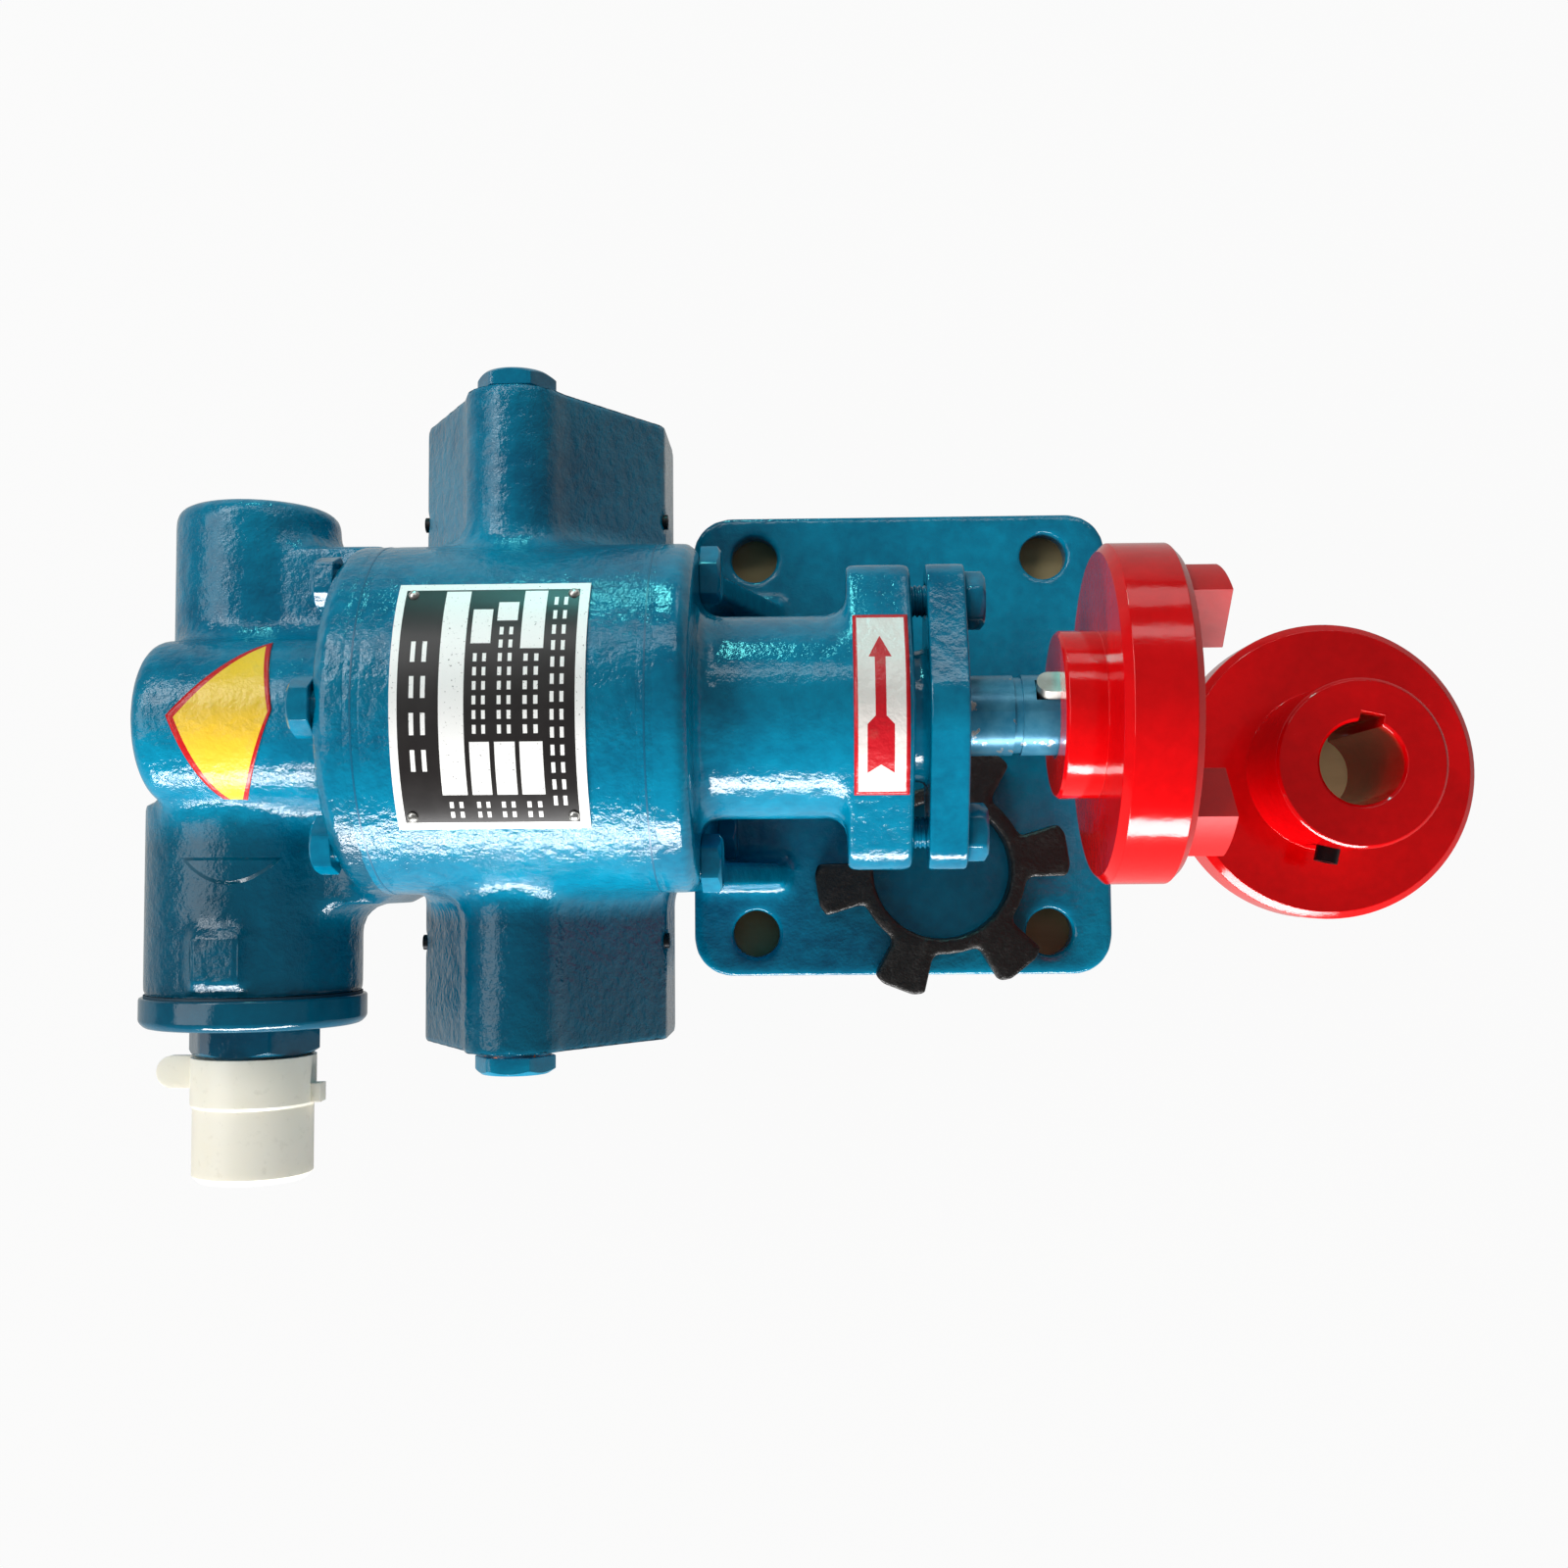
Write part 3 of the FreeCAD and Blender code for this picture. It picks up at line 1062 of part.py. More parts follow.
def make_side_plugs():
    """Four small socket plugs that close cross drillings in the port blocks."""
    plugs = []
    half = S["body_length"] / 2 - S["port_back"]
    height = PORT_HEIGHT
    for sign, face in ((-1, PORT_MIDDLE - half), (1, PORT_MIDDLE + half)):
        for side in (1, -1):
            body = new_body(f"side_plug_{len(plugs) + 1}")
            end = sketch_on(body, "YZ_Plane", face + S["side_plug_proud"] * sign)
            circle(end, S["side_plug_reach"] * side, height, S["side_plug_dia"] / 2)
            pad(body, end, S["side_plug_depth"] + S["side_plug_proud"], reverse=sign > 0)
            socket = sketch_on(body, "YZ_Plane", face + S["side_plug_proud"] * sign)
            hexagon(socket, S["side_plug_reach"] * side, height, S["side_plug_dia"] / 2)
            pocket(body, socket, S["side_plug_depth"] / 3, forward=sign < 0)
            plugs.append(body)
    return plugs


def valve_body(label):
    """A body whose sketches lie in a plane through the valve's axis."""
    body = new_body(label)
    place(body, S["valve_x"], 0, VALVE_HEIGHT)
    return body


def turned_about_valve(label, corners):
    """A turned piece on the valve axis, from its (sideways place, radius) corners."""
    body = valve_body(label)
    profile = sketch_on(body, "YZ_Plane")
    polygon(profile, corners)
    revolve(body, profile)
    return body


def make_relief_valve():
    """Seat ring, poppet, spring plate, round cover, seal and adjusting screw of the valve."""
    seat_outer = S["seat_dia"] / 2
    seat_inner = S["seat_bore_dia"] / 2
    small = S["seat_bevel"]
    turned_about_valve("valve_seat", [
        (S["seat_face"], seat_inner + small), (S["seat_face"], seat_outer), (SEAT_BACK, seat_outer),
        (SEAT_BACK, seat_inner), (S["seat_face"] + small, seat_inner),
    ])
    head = S["poppet_dia"] / 2
    spigot = (S["spring_mean_dia"] - S["spring_wire"]) / 2 - S["loose_gap"]
    tail = POPPET_FACE - S["poppet_length"]
    nose = POPPET_FACE + S["poppet_nose"]
    nose_foot = seat_inner - S["poppet_nose_gap"]
    turned_about_valve("valve_poppet", [
        (nose, 0), (nose, nose_foot - S["poppet_taper"]), (POPPET_FACE, nose_foot), (POPPET_FACE, head),
        (SPRING_START, head), (SPRING_START, spigot), (tail, spigot - small), (tail, 0),
    ])
    plate = S["spring_plate_dia"] / 2
    spigot_end = SPRING_END + S["spring_plate_spigot"]
    turned_about_valve("spring_plate", [
        (spigot_end, 0), (spigot_end, spigot - small), (SPRING_END, spigot), (SPRING_END, plate),
        (SCREW_START, plate), (SCREW_START, 0),
    ])
    screw = S["screw_dia"] / 2
    bevel = S["screw_bevel"]
    turned_about_valve("adjusting_screw", [
        (SCREW_START, 0), (SCREW_START, screw - bevel), (SCREW_START - bevel, screw),
        (-S["screw_end"] + bevel, screw), (-S["screw_end"], screw - bevel), (-S["screw_end"], 0),
    ])
    cover = S["valve_cover_dia"] / 2
    spigot = S["spring_bore_dia"] / 2
    hole = screw + S["running_gap"]
    turned_about_valve("valve_cover", [
        (COVER_SEAT + S["valve_cover_spigot"], hole), (COVER_SEAT + S["valve_cover_spigot"], spigot),
        (COVER_BACK, spigot), (COVER_BACK, cover), (COVER_END + bevel, cover), (COVER_END, cover - bevel),
        (COVER_END, hole),
    ])
    turned_about_valve("valve_seal", [
        (COVER_SEAT, spigot), (COVER_SEAT, S["valve_wide_dia"] / 2), (COVER_BACK, S["valve_wide_dia"] / 2),
        (COVER_BACK, spigot),
    ])


def make_spring():
    """Compression spring along the valve axis, from the poppet to its plate, its wire drawn
    with eight flats."""
    flat_count = 8
    wire = sheet.get("spring_wire") / 2
    radius = sheet.get("spring_mean_dia") / 2
    length = sheet.get("spring_length") - 2 * wire
    pitch = length / sheet.get("spring_turns")
    helix = Part.makeHelix(pitch, length, radius)
    corners = []
    for number in range(flat_count):
        angle = 2 * math.pi * number / flat_count
        corners.append(Vector(radius + wire * math.cos(angle), 0, wire * math.sin(angle)))
    section = Part.makePolygon(corners + corners[:1])
    coil = Part.Wire(helix.Edges).makePipeShell([section], True, True)
    spring = doc.addObject("Part::Feature", "valve_spring")
    spring.Label = "valve_spring"
    spring.Shape = coil
    spring.Placement = Placement(Vector(0, 0, 0), Rotation(Vector(1, 0, 0), 90))
    bind(spring, "Placement.Base.x", S["valve_x"])
    bind(spring, "Placement.Base.y", SPRING_START - S["spring_wire"] / 2)
    bind(spring, "Placement.Base.z", VALVE_HEIGHT)


def make_lock_nut():
    """Large hexagon lock nut with a round collar that carries the cap."""
    body = valve_body("lock_nut")
    hexed = sketch_on(body, "XZ_Plane", -COVER_END)
    hexagon(hexed, 0, 0, S["nut_flats"])
    pad(body, hexed, S["nut_high"])
    collar = sketch_on(body, "XZ_Plane", -NUT_END)
    circle(collar, 0, 0, S["nut_collar_dia"] / 2)
    pad(body, collar, S["nut_collar_high"])
    hole = sketch_on(body, "XZ_Plane", -COVER_END)
    circle(hole, 0, 0, S["screw_dia"] / 2 + S["running_gap"])
    pocket(body, hole, S["nut_high"] + S["nut_collar_high"], forward=True)


def make_cap():
    """Soft plastic cap with a thick rim, a pull tab and a small locating nib."""
    body = valve_body("protective_cap")
    inner = S["nut_collar_dia"] / 2 + S["cap_gap"]
    outer = S["cap_dia"] / 2
    rim = S["cap_collar_dia"] / 2
    far = NUT_END - S["cap_high"]
    rim_end = NUT_END - S["cap_collar_high"]
    profile = sketch_on(body, "YZ_Plane")
    polygon(profile, [
        (NUT_END, inner), (NUT_END, rim), (rim_end, rim), (rim_end - S["seat_bevel"], outer),
        (far + S["screw_bevel"], outer), (far, outer - S["screw_bevel"]), (far, 0),
        (far + S["cap_wall"], 0), (far + S["cap_wall"], inner),
    ])
    revolve(body, profile)
    tab = sketch_on(body, "XY_Plane")
    half = S["cap_tab_width"] / 2
    middle = NUT_END - half
    tip = -(rim + S["cap_tab_length"] - half)
    bond = rim - S["cap_bond"] * 2
    arc_outline(tab, [
        ((-bond, middle - half), (-bond, middle + half)),
        ((-bond, middle + half), (tip, middle + half)),
        ((tip, middle + half), (tip, middle - half), (tip, middle)),
        ((tip, middle - half), (-bond, middle - half)),
    ])
    pad(body, tab, S["cap_tab_thick"], middle=True)
    nib = sketch_on(body, "XY_Plane")
    rectangle(nib, bond, rim + S["cap_nib_proud"], rim_end, rim_end + S["cap_nib_length"])
    pad(body, nib, S["cap_tab_thick"] * 2, middle=True)


def make_coupling_half(label, hub_dia, hub_length, bore_dia):
    """Jaw coupling half with its jaws up, standing on the plane of its jaw tips."""
    body = new_body(label)
    flange_low = S["jaw_high"]
    flange_top = flange_low + S["coupling_flange"]
    profile = sketch_on(body, "XZ_Plane")
    edge = S["coupling_edge"]
    rim = S["coupling_dia"] / 2
    bevel = S["hub_bevel"]
    polygon(profile, [
        (bore_dia / 2, flange_low), (rim - edge, flange_low), (rim, flange_low + edge),
        (rim, flange_top - edge), (rim - edge, flange_top), (hub_dia / 2, flange_top),
        (hub_dia / 2, flange_top + hub_length - bevel), (hub_dia / 2 - bevel, flange_top + hub_length),
        (bore_dia / 2 + bevel, flange_top + hub_length), (bore_dia / 2, flange_top + hub_length - bevel),
    ])
    revolve(body, profile, "V_Axis")
    jaw = sketch_on(body, "XY_Plane", flange_low, S["jaw_turn"])
    inner = S["jaw_inner_dia"] / 2
    outer = S["jaw_outer_dia"] / 2
    half = S["jaw_half_angle"]
    inner_start = (inner * cosine(half), -inner * sine(half))
    inner_end = (inner * cosine(half), inner * sine(half))
    outer_start = (outer * cosine(half), -outer * sine(half))
    outer_end = (outer * cosine(half), outer * sine(half))
    lines = [(inner_start, outer_start), (outer_start, outer_end, (0, 0)), (outer_end, inner_end),
             (inner_end, inner_start)]
    arc_outline(jaw, lines)
    first = pad(body, jaw, S["jaw_high"], reverse=True)
    pattern = body.newObject("PartDesign::PolarPattern", f"{label}_jaws")
    pattern.Originals = [first]
    pattern.Axis = (jaw, ["N_Axis"])
    pattern.Angle = 360
    pattern.Occurrences = int(S["jaw_count"].value)
    bind(pattern, "Occurrences", S["jaw_count"])
    body.Tip = pattern
    slot = sketch_on(body, "XY_Plane", flange_low)
    width = S["key_width"] / 2
    reach = bore_dia / 2 - S["key_seat"] + S["key_high"]
    rectangle(slot, 0, reach, -width, width)
    pocket(body, slot, S["coupling_flange"] + hub_length, forward=True)
    screw = sketch_on(body, "YZ_Plane")
    circle(screw, 0, flange_top + hub_length / 2, S["set_screw_dia"] / 2)
    pocket(body, screw, hub_dia)
    return body


def make_set_screw(label, hub_dia, hub_length, bore_dia):
    """Socket set screw, radial, opposite the keyway, its point at the bore."""
    body = new_body(label)
    height = S["jaw_high"] + S["coupling_flange"] + hub_length / 2
    point = bore_dia / 2 + S["running_gap"]
    end = sketch_on(body, "YZ_Plane", -(hub_dia / 2 + S["set_screw_proud"]))
    circle(end, 0, height, S["set_screw_dia"] / 2)
    pad(body, end, hub_dia / 2 + S["set_screw_proud"] - point)
    socket = sketch_on(body, "YZ_Plane", -(hub_dia / 2 + S["set_screw_proud"]))
    hexagon(socket, 0, height, S["set_screw_dia"] / 2)
    pocket(body, socket, S["set_screw_socket"], forward=True)
    return body


def stand_coupling_on_shaft(body):
    """Turn a coupling half so that its jaws point away from the pump and its key seat meets the key."""
    up_to_back = Rotation(Vector(0, 1, 0), -90)
    about_shaft = Rotation(Vector(1, 0, 0), -S["coupling_key_turn"].value)
    jaw_tip = COUPLING_END + S["jaw_high"]
    stand = Vector(jaw_tip.value, 0, S["shaft_height"].value)
    body.Placement = Placement(stand, about_shaft.multiply(up_to_back))
    bind(body, "Placement.Base.x", jaw_tip)
    bind(body, "Placement.Base.z", S["shaft_height"])


def lay_coupling_on_ground(body):
    """Stand a coupling half on the ground on its jaws, with its keyway in the chosen direction."""
    body.Placement = Placement(Vector(0, 0, 0), Rotation(Vector(0, 0, 1), S["motor_turn"].value))
    bind(body, "Placement.Base.x", S["motor_x"])
    bind(body, "Placement.Base.y", S["motor_y"])


def make_star():
    """Six-lobed rubber star that sits between the jaws; it lies on the foot."""
    body = new_body("rubber_star")
    ring = sketch_on(body, "XY_Plane")
    circle(ring, 0, 0, S["star_ring_dia"] / 2)
    pad(body, ring, S["star_thick"])
    lobe = sketch_on(body, "XY_Plane")
    inner = S["star_hole_dia"] / 2
    wide = S["star_lobe_width"] / 2
    waist = S["star_waist"] / 2
    tip = S["star_tip"] / 2
    outer = S["star_outer_dia"] / 2
    shoulder = outer - S["star_bevel"]
    polygon(lobe, [(inner, -waist), (shoulder, -wide), (outer, -tip), (outer, tip),
                   (shoulder, wide), (inner, waist)])
    first = pad(body, lobe, S["star_thick"])
    pattern = body.newObject("PartDesign::PolarPattern", "star_lobes")
    pattern.Originals = [first]
    pattern.Axis = (lobe, ["N_Axis"])
    pattern.Angle = 360
    pattern.Occurrences = 2 * int(S["jaw_count"].value)
    bind(pattern, "Occurrences", S["jaw_count"] * 2)
    body.Tip = pattern
    hole = sketch_on(body, "XY_Plane", S["star_thick"])
    circle(hole, 0, 0, inner)
    pocket(body, hole, S["star_thick"])
    body.Placement = Placement(Vector(0, 0, 0), Rotation(Vector(0, 0, 1), S["star_turn"].value))
    bind(body, "Placement.Base.x", S["star_x"])
    bind(body, "Placement.Base.y", S["star_y"])
    bind(body, "Placement.Base.z", S["foot_thick"])


def make_nameplate():
    """Thin plate bent over the top of the drum."""
    body = new_body("nameplate")
    inner = S["body_radius"] + S["plate_gap"]
    outer = inner + S["plate_thick"]
    first = 90 - S["plate_half_angle"]
    last = 90 + S["plate_half_angle"]

    def at(radius, angle):
        return radius * cosine(angle), radius * sine(angle)

    outline = sketch_on(body, "YZ_Plane")
    arc_outline(outline, [
        (at(outer, first), at(outer, last), (0, 0)),
        (at(outer, last), at(inner, last)),
        (at(inner, last), at(inner, first), (0, 0), "clockwise"),
        (at(inner, first), at(outer, first)),
    ])
    pad(body, outline, S["plate_length"])
    place(body, S["plate_start"], 0, S["shaft_height"])


def make_rivets():
    """Round-headed drive rivets, one near each corner of the nameplate."""
    rivets = []
    head = S["rivet_dia"] / 2
    surface = S["body_radius"] + S["plate_gap"] + S["plate_thick"]
    for along in (S["plate_start"] + S["rivet_inset"],
                  S["plate_start"] + S["plate_length"] - S["rivet_inset"]):
        for side in (1, -1):
            body = new_body(f"plate_rivet_{len(rivets) + 1}")
            profile = sketch_on(body, "XZ_Plane")
            dome = [(head * cosine(angle), surface + S["rivet_proud"] * sine(angle))
                    for angle in (0, 30, 60, 90)]
            polygon(profile, [(0, surface)] + dome)
            revolve(body, profile, "V_Axis")
            body.Placement = Placement(Vector(0, 0, 0), Rotation(Vector(side, 0, 0), S["rivet_angle"].value))
            bind(body, "Placement.Rotation.Angle", S["rivet_angle"])
            bind(body, "Placement.Base.x", along)
            bind(body, "Placement.Base.z", S["shaft_height"])
            rivets.append(body)
    return rivets


GROUPS = {}


def group(label, members):
    """Remember that several equal pieces are written as one node of separate solids."""
    GROUPS[label] = members


def build():
    make_pump_body()
    make_rear_cover()
    make_front_bracket()
    make_gasket("rear_gasket", REAR_FACE, rear_bolt_places(), ducts=True)
    make_gasket("front_gasket", S["body_front"], front_bolt_places())
    make_bush("rear_drive_bush", REAR_BUSH_END, S["rear_bush_length"], S["shaft_height"])
    make_bush("rear_driven_bush", REAR_BUSH_END, S["rear_bush_length"], DRIVEN_HEIGHT)
    make_bush("front_drive_bush", FRONT_FACE, S["front_bush_length"], S["shaft_height"])
    make_bush("front_driven_bush", FRONT_FACE, S["driven_bush_length"], DRIVEN_HEIGHT)
    make_drive_shaft()
    make_driven_shaft()
    key_start = BODY_MIDDLE - S["gear_key_length"] / 2
    make_key("drive_gear_key", key_start, S["gear_key_length"], S["shaft_height"])
    make_key("driven_gear_key", key_start, S["gear_key_length"], DRIVEN_HEIGHT)
    make_key("coupling_key", S["coupling_key_start"], S["coupling_key_length"], S["shaft_height"],
             S["coupling_key_turn"])
    make_gear("drive_gear", -math.pi / 2, S["shaft_height"])
    make_gear("driven_gear", math.pi / 2 + math.pi / int(S["teeth"].value), DRIVEN_HEIGHT)
    group("packing_rings", make_packing())
    make_gland()
    group("gland_bolts", make_gland_bolts())
    group("rear_cover_bolts", make_cover_bolts("rear_bolt", REAR_BACK, 1, S["rear_plate"],
                                               rear_bolt_places()))
    group("front_cover_bolts", make_cover_bolts("front_bolt", FRONT_BACK, -1, S["front_plate"],
                                                front_bolt_places()))
    group("dowel_pins", make_dowels())
    plugs, washers = make_gauge_plugs()
    group("gauge_plugs", plugs)
    group("gauge_plug_washers", washers)
    group("side_plugs", make_side_plugs())
    make_relief_valve()
    make_spring()
    make_lock_nut()
    make_cap()
    pump_half = make_coupling_half("pump_coupling_half", S["hub_dia"], S["hub_length"], S["shaft_dia"])
    stand_coupling_on_shaft(pump_half)
    stand_coupling_on_shaft(make_set_screw("pump_set_screw", S["hub_dia"], S["hub_length"], S["shaft_dia"]))
    motor_half = make_coupling_half("motor_coupling_half", S["motor_hub_dia"], S["motor_hub_length"],
                                    S["motor_bore_dia"])
    lay_coupling_on_ground(motor_half)
    lay_coupling_on_ground(make_set_screw("motor_set_screw", S["motor_hub_dia"], S["motor_hub_length"],
                                          S["motor_bore_dia"]))
    make_star()
    make_nameplate()
    group("nameplate_rivets", make_rivets())


def check_document():
    """Stop if any object failed or any piece has no valid solid."""
    broken = [o.Label for o in doc.Objects if "Invalid" in o.State or "Error" in o.State]
    if broken:
        raise RuntimeError("failed objects: " + ", ".join(broken))
    for piece in pieces():
        if piece.Shape.isNull() or not piece.Shape.isValid() or not piece.Shape.Solids:
            raise RuntimeError(f"{piece.Label} has no valid solid")


def pieces():
    return [o for o in doc.Objects if o.TypeId in ("PartDesign::Body", "Part::Feature")]


def write_steps():
    os.makedirs("parts", exist_ok=True)
    grouped = {member.Name for members in GROUPS.values() for member in members}
    for piece in pieces():
        if piece.Name not in grouped:
            piece.Shape.exportStep(f"parts/{piece.Label}.step")
    for label, members in GROUPS.items():
        Part.makeCompound([member.Shape for member in members]).exportStep(f"parts/{label}.step")


build()
doc.recompute()
check_document()
write_steps()
print(f"{len(pieces())} pieces")
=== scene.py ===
import json
import math

import bmesh
import bpy
import numpy as np
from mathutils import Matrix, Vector


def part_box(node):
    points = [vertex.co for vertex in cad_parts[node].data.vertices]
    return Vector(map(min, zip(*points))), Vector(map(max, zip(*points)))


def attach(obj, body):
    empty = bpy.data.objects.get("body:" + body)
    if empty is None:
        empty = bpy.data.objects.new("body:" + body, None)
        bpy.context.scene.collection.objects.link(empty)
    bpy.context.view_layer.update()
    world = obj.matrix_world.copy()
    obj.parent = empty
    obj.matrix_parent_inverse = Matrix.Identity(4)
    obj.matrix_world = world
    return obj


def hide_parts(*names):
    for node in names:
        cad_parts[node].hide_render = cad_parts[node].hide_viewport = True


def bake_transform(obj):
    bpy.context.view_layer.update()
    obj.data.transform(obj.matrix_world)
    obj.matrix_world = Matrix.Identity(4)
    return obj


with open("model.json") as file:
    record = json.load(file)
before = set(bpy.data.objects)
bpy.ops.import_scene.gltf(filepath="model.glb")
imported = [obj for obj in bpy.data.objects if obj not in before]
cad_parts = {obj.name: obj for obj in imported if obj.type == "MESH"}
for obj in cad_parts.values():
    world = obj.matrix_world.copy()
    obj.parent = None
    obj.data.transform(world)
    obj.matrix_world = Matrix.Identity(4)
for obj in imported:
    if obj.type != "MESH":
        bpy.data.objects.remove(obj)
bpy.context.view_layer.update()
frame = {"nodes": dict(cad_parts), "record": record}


# Pump body
# A grey-iron sand casting over both gears, with a port block on each side. Its bores and faces
# are machined, and it is brushed with a glossy teal enamel once the whole pump is assembled.

drive_z = 0.112
driven_z = 0.056
body_of_node = {node: body for body, nodes in frame["record"]["behaviour"]["bodies"].items()
                for node in nodes}


def apply_modifiers(piece):
    """Gives the piece the shape that its modifiers make of it."""
    graph = bpy.context.evaluated_depsgraph_get()
    made = bpy.data.meshes.new_from_object(piece.evaluated_get(graph))
    piece.modifiers.clear()
    old = piece.data
    piece.data = made
    bpy.data.meshes.remove(old)


def stand_for(piece, node, material):
    """The piece takes a CAD node's place: it rides on that node's body and wears the material."""
    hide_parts(node)
    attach(piece, body_of_node[node])
    piece.data.materials.clear()
    piece.data.materials.append(material)


def copy_of(node):
    """A piece with a CAD node's shape, its loose triangles joined into one skin."""
    mesh = frame["nodes"][node].data.copy()
    piece = bpy.data.objects.new(node + "_piece", mesh)
    bpy.context.scene.collection.objects.link(piece)
    weld = piece.modifiers.new("weld", "WELD")
    weld.merge_threshold = 0.00002
    apply_modifiers(piece)
    return piece


def cast_skin(node, grain, fillet, faces, material):
    """The skin that a sand casting has: inner corners filled to a radius, outer ones worn round.
    The surface is grown outwards by the fillet, joined where it meets itself and drawn back, and
    a point that still lies outside the CAD solid's box is moved onto it."""
    piece = copy_of(node)
    for distance in (fillet, -fillet):
        remesh = piece.modifiers.new("grain", "REMESH")
        remesh.mode = "VOXEL"
        remesh.voxel_size = grain
        grow = piece.modifiers.new("grow", "DISPLACE")
        grow.strength = distance
        grow.mid_level = 0.0
        apply_modifiers(piece)
    soften = piece.modifiers.new("soften", "SMOOTH")
    soften.factor = 0.5
    soften.iterations = 4
    thin = piece.modifiers.new("thin", "DECIMATE")
    thin.ratio = min(1.0, faces / (2 * len(piece.data.polygons)))
    apply_modifiers(piece)
    spots = np.zeros(3 * len(piece.data.vertices))
    piece.data.vertices.foreach_get("co", spots)
    held = np.clip(spots.reshape(-1, 3), *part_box(node))
    piece.data.vertices.foreach_set("co", held.ravel())
    piece.data.shade_smooth()
    stand_for(piece, node, material)


def srgb(red, green, blue):
    """A colour given as 0 to 255 on screen, turned into the linear values that shaders use."""
    levels = np.array([red, green, blue]) / 255
    linear = np.where(levels <= 0.04045, levels / 12.92, ((levels + 0.055) / 1.055) ** 2.4)
    return (*linear.tolist(), 1.0)


class Wire:
    """One output of a finish's nodes. Arithmetic on wires adds Math nodes."""

    def __init__(self, finish, socket):
        self.finish = finish
        self.socket = socket

    def math(self, operation, first, second=0.0):
        return self.finish.node("Math", {"operation": operation}, {0: first, 1: second})

    def __add__(self, other):
        return self.math("ADD", self, other)

    def __radd__(self, other):
        return self.math("ADD", other, self)

    def __sub__(self, other):
        return self.math("SUBTRACT", self, other)

    def __rsub__(self, other):
        return self.math("SUBTRACT", other, self)

    def __mul__(self, other):
        return self.math("MULTIPLY", self, other)

    def __rmul__(self, other):
        return self.math("MULTIPLY", other, self)

    def __truediv__(self, other):
        return self.math("DIVIDE", self, other)

    def __pow__(self, other):
        return self.math("POWER", self, other)

    def __gt__(self, other):
        return self.math("GREATER_THAN", self, other)

    def __lt__(self, other):
        return self.math("LESS_THAN", self, other)

    def __abs__(self):
        return self.math("ABSOLUTE", self)

    def larger(self, other):
        return self.math("MAXIMUM", self, other)

    def smaller(self, other):
        return self.math("MINIMUM", self, other)

    def within(self, low, high):
        """1 between two limits and 0 outside them."""
        return (self > low) * (self < high)


class Finish:
    """A material under construction, or the sky; node() is the one way in which nodes are made."""

    def __init__(self, name, sky=None):
        self.material = sky or bpy.data.materials.new(name)
        self.material.use_nodes = True
        self.material.node_tree.nodes.clear()

    def node(self, kind, settings=None, sockets=None, output=0):
        made = self.material.node_tree.nodes.new("ShaderNode" + kind)
        for key, value in (settings or {}).items():
            setattr(made, key, value)
        for key, value in (sockets or {}).items():
            if isinstance(value, Wire):
                self.material.node_tree.links.new(value.socket, made.inputs[key])
            else:
                made.inputs[key].default_value = value
        return Wire(self, made.outputs[output] if made.outputs else None)

    def place(self):
        """Where a point is on the piece, in metres."""
        return self.node("TexCoord", output="Object")

    def axes(self, of=None):
        """The three coordinates of a point, or of another vector, each as a wire."""
        split = self.node("SeparateXYZ", sockets={0: of or self.place()})
        outputs = split.socket.node.outputs
        return [Wire(self, outputs[axis]) for axis in "XYZ"]

    def noise(self, scale, detail=3.0, rough=0.55, stretch=(1, 1, 1)):
        """Cloudy values about 0.5; scale counts the clouds in a metre."""
        spot = self.node("Mapping", sockets={"Vector": self.place(), "Scale": stretch})
        return self.node("TexNoise", sockets={"Vector": spot, "Scale": scale, "Detail": detail,
                                              "Roughness": rough})

    def between(self, value, low, high):
        """0 up to low and 1 from high on, with an even rise between them."""
        return self.node("MapRange", {"clamp": True}, {0: value, 1: low, 2: high})

    def mix(self, share, first, second):
        """A colour between two colours."""
        return self.node("Mix", {"data_type": "RGBA"}, {0: share, 6: first, 7: second}, output=2)

    def relief(self, height, depth):
        """Bumps of a depth in metres."""
        return self.node("Bump", sockets={"Height": height, "Distance": depth, "Strength": 1.0})

    def surface(self, **sockets):
        """Ends the material with a Principled surface and gives the material."""
        named = {key.replace("_", " "): value for key, value in sockets.items()}
        shader = self.node("BsdfPrincipled", sockets=named)
        self.node("OutputMaterial", sockets={"Surface": shader})
        return self.material


teal = (srgb(0, 94, 126), srgb(0, 134, 168), srgb(96, 152, 168))
# A darker teal that the enamel is mixed towards on the inlet side: painted shade.
painted_shade_teal = srgb(0, 62, 84)


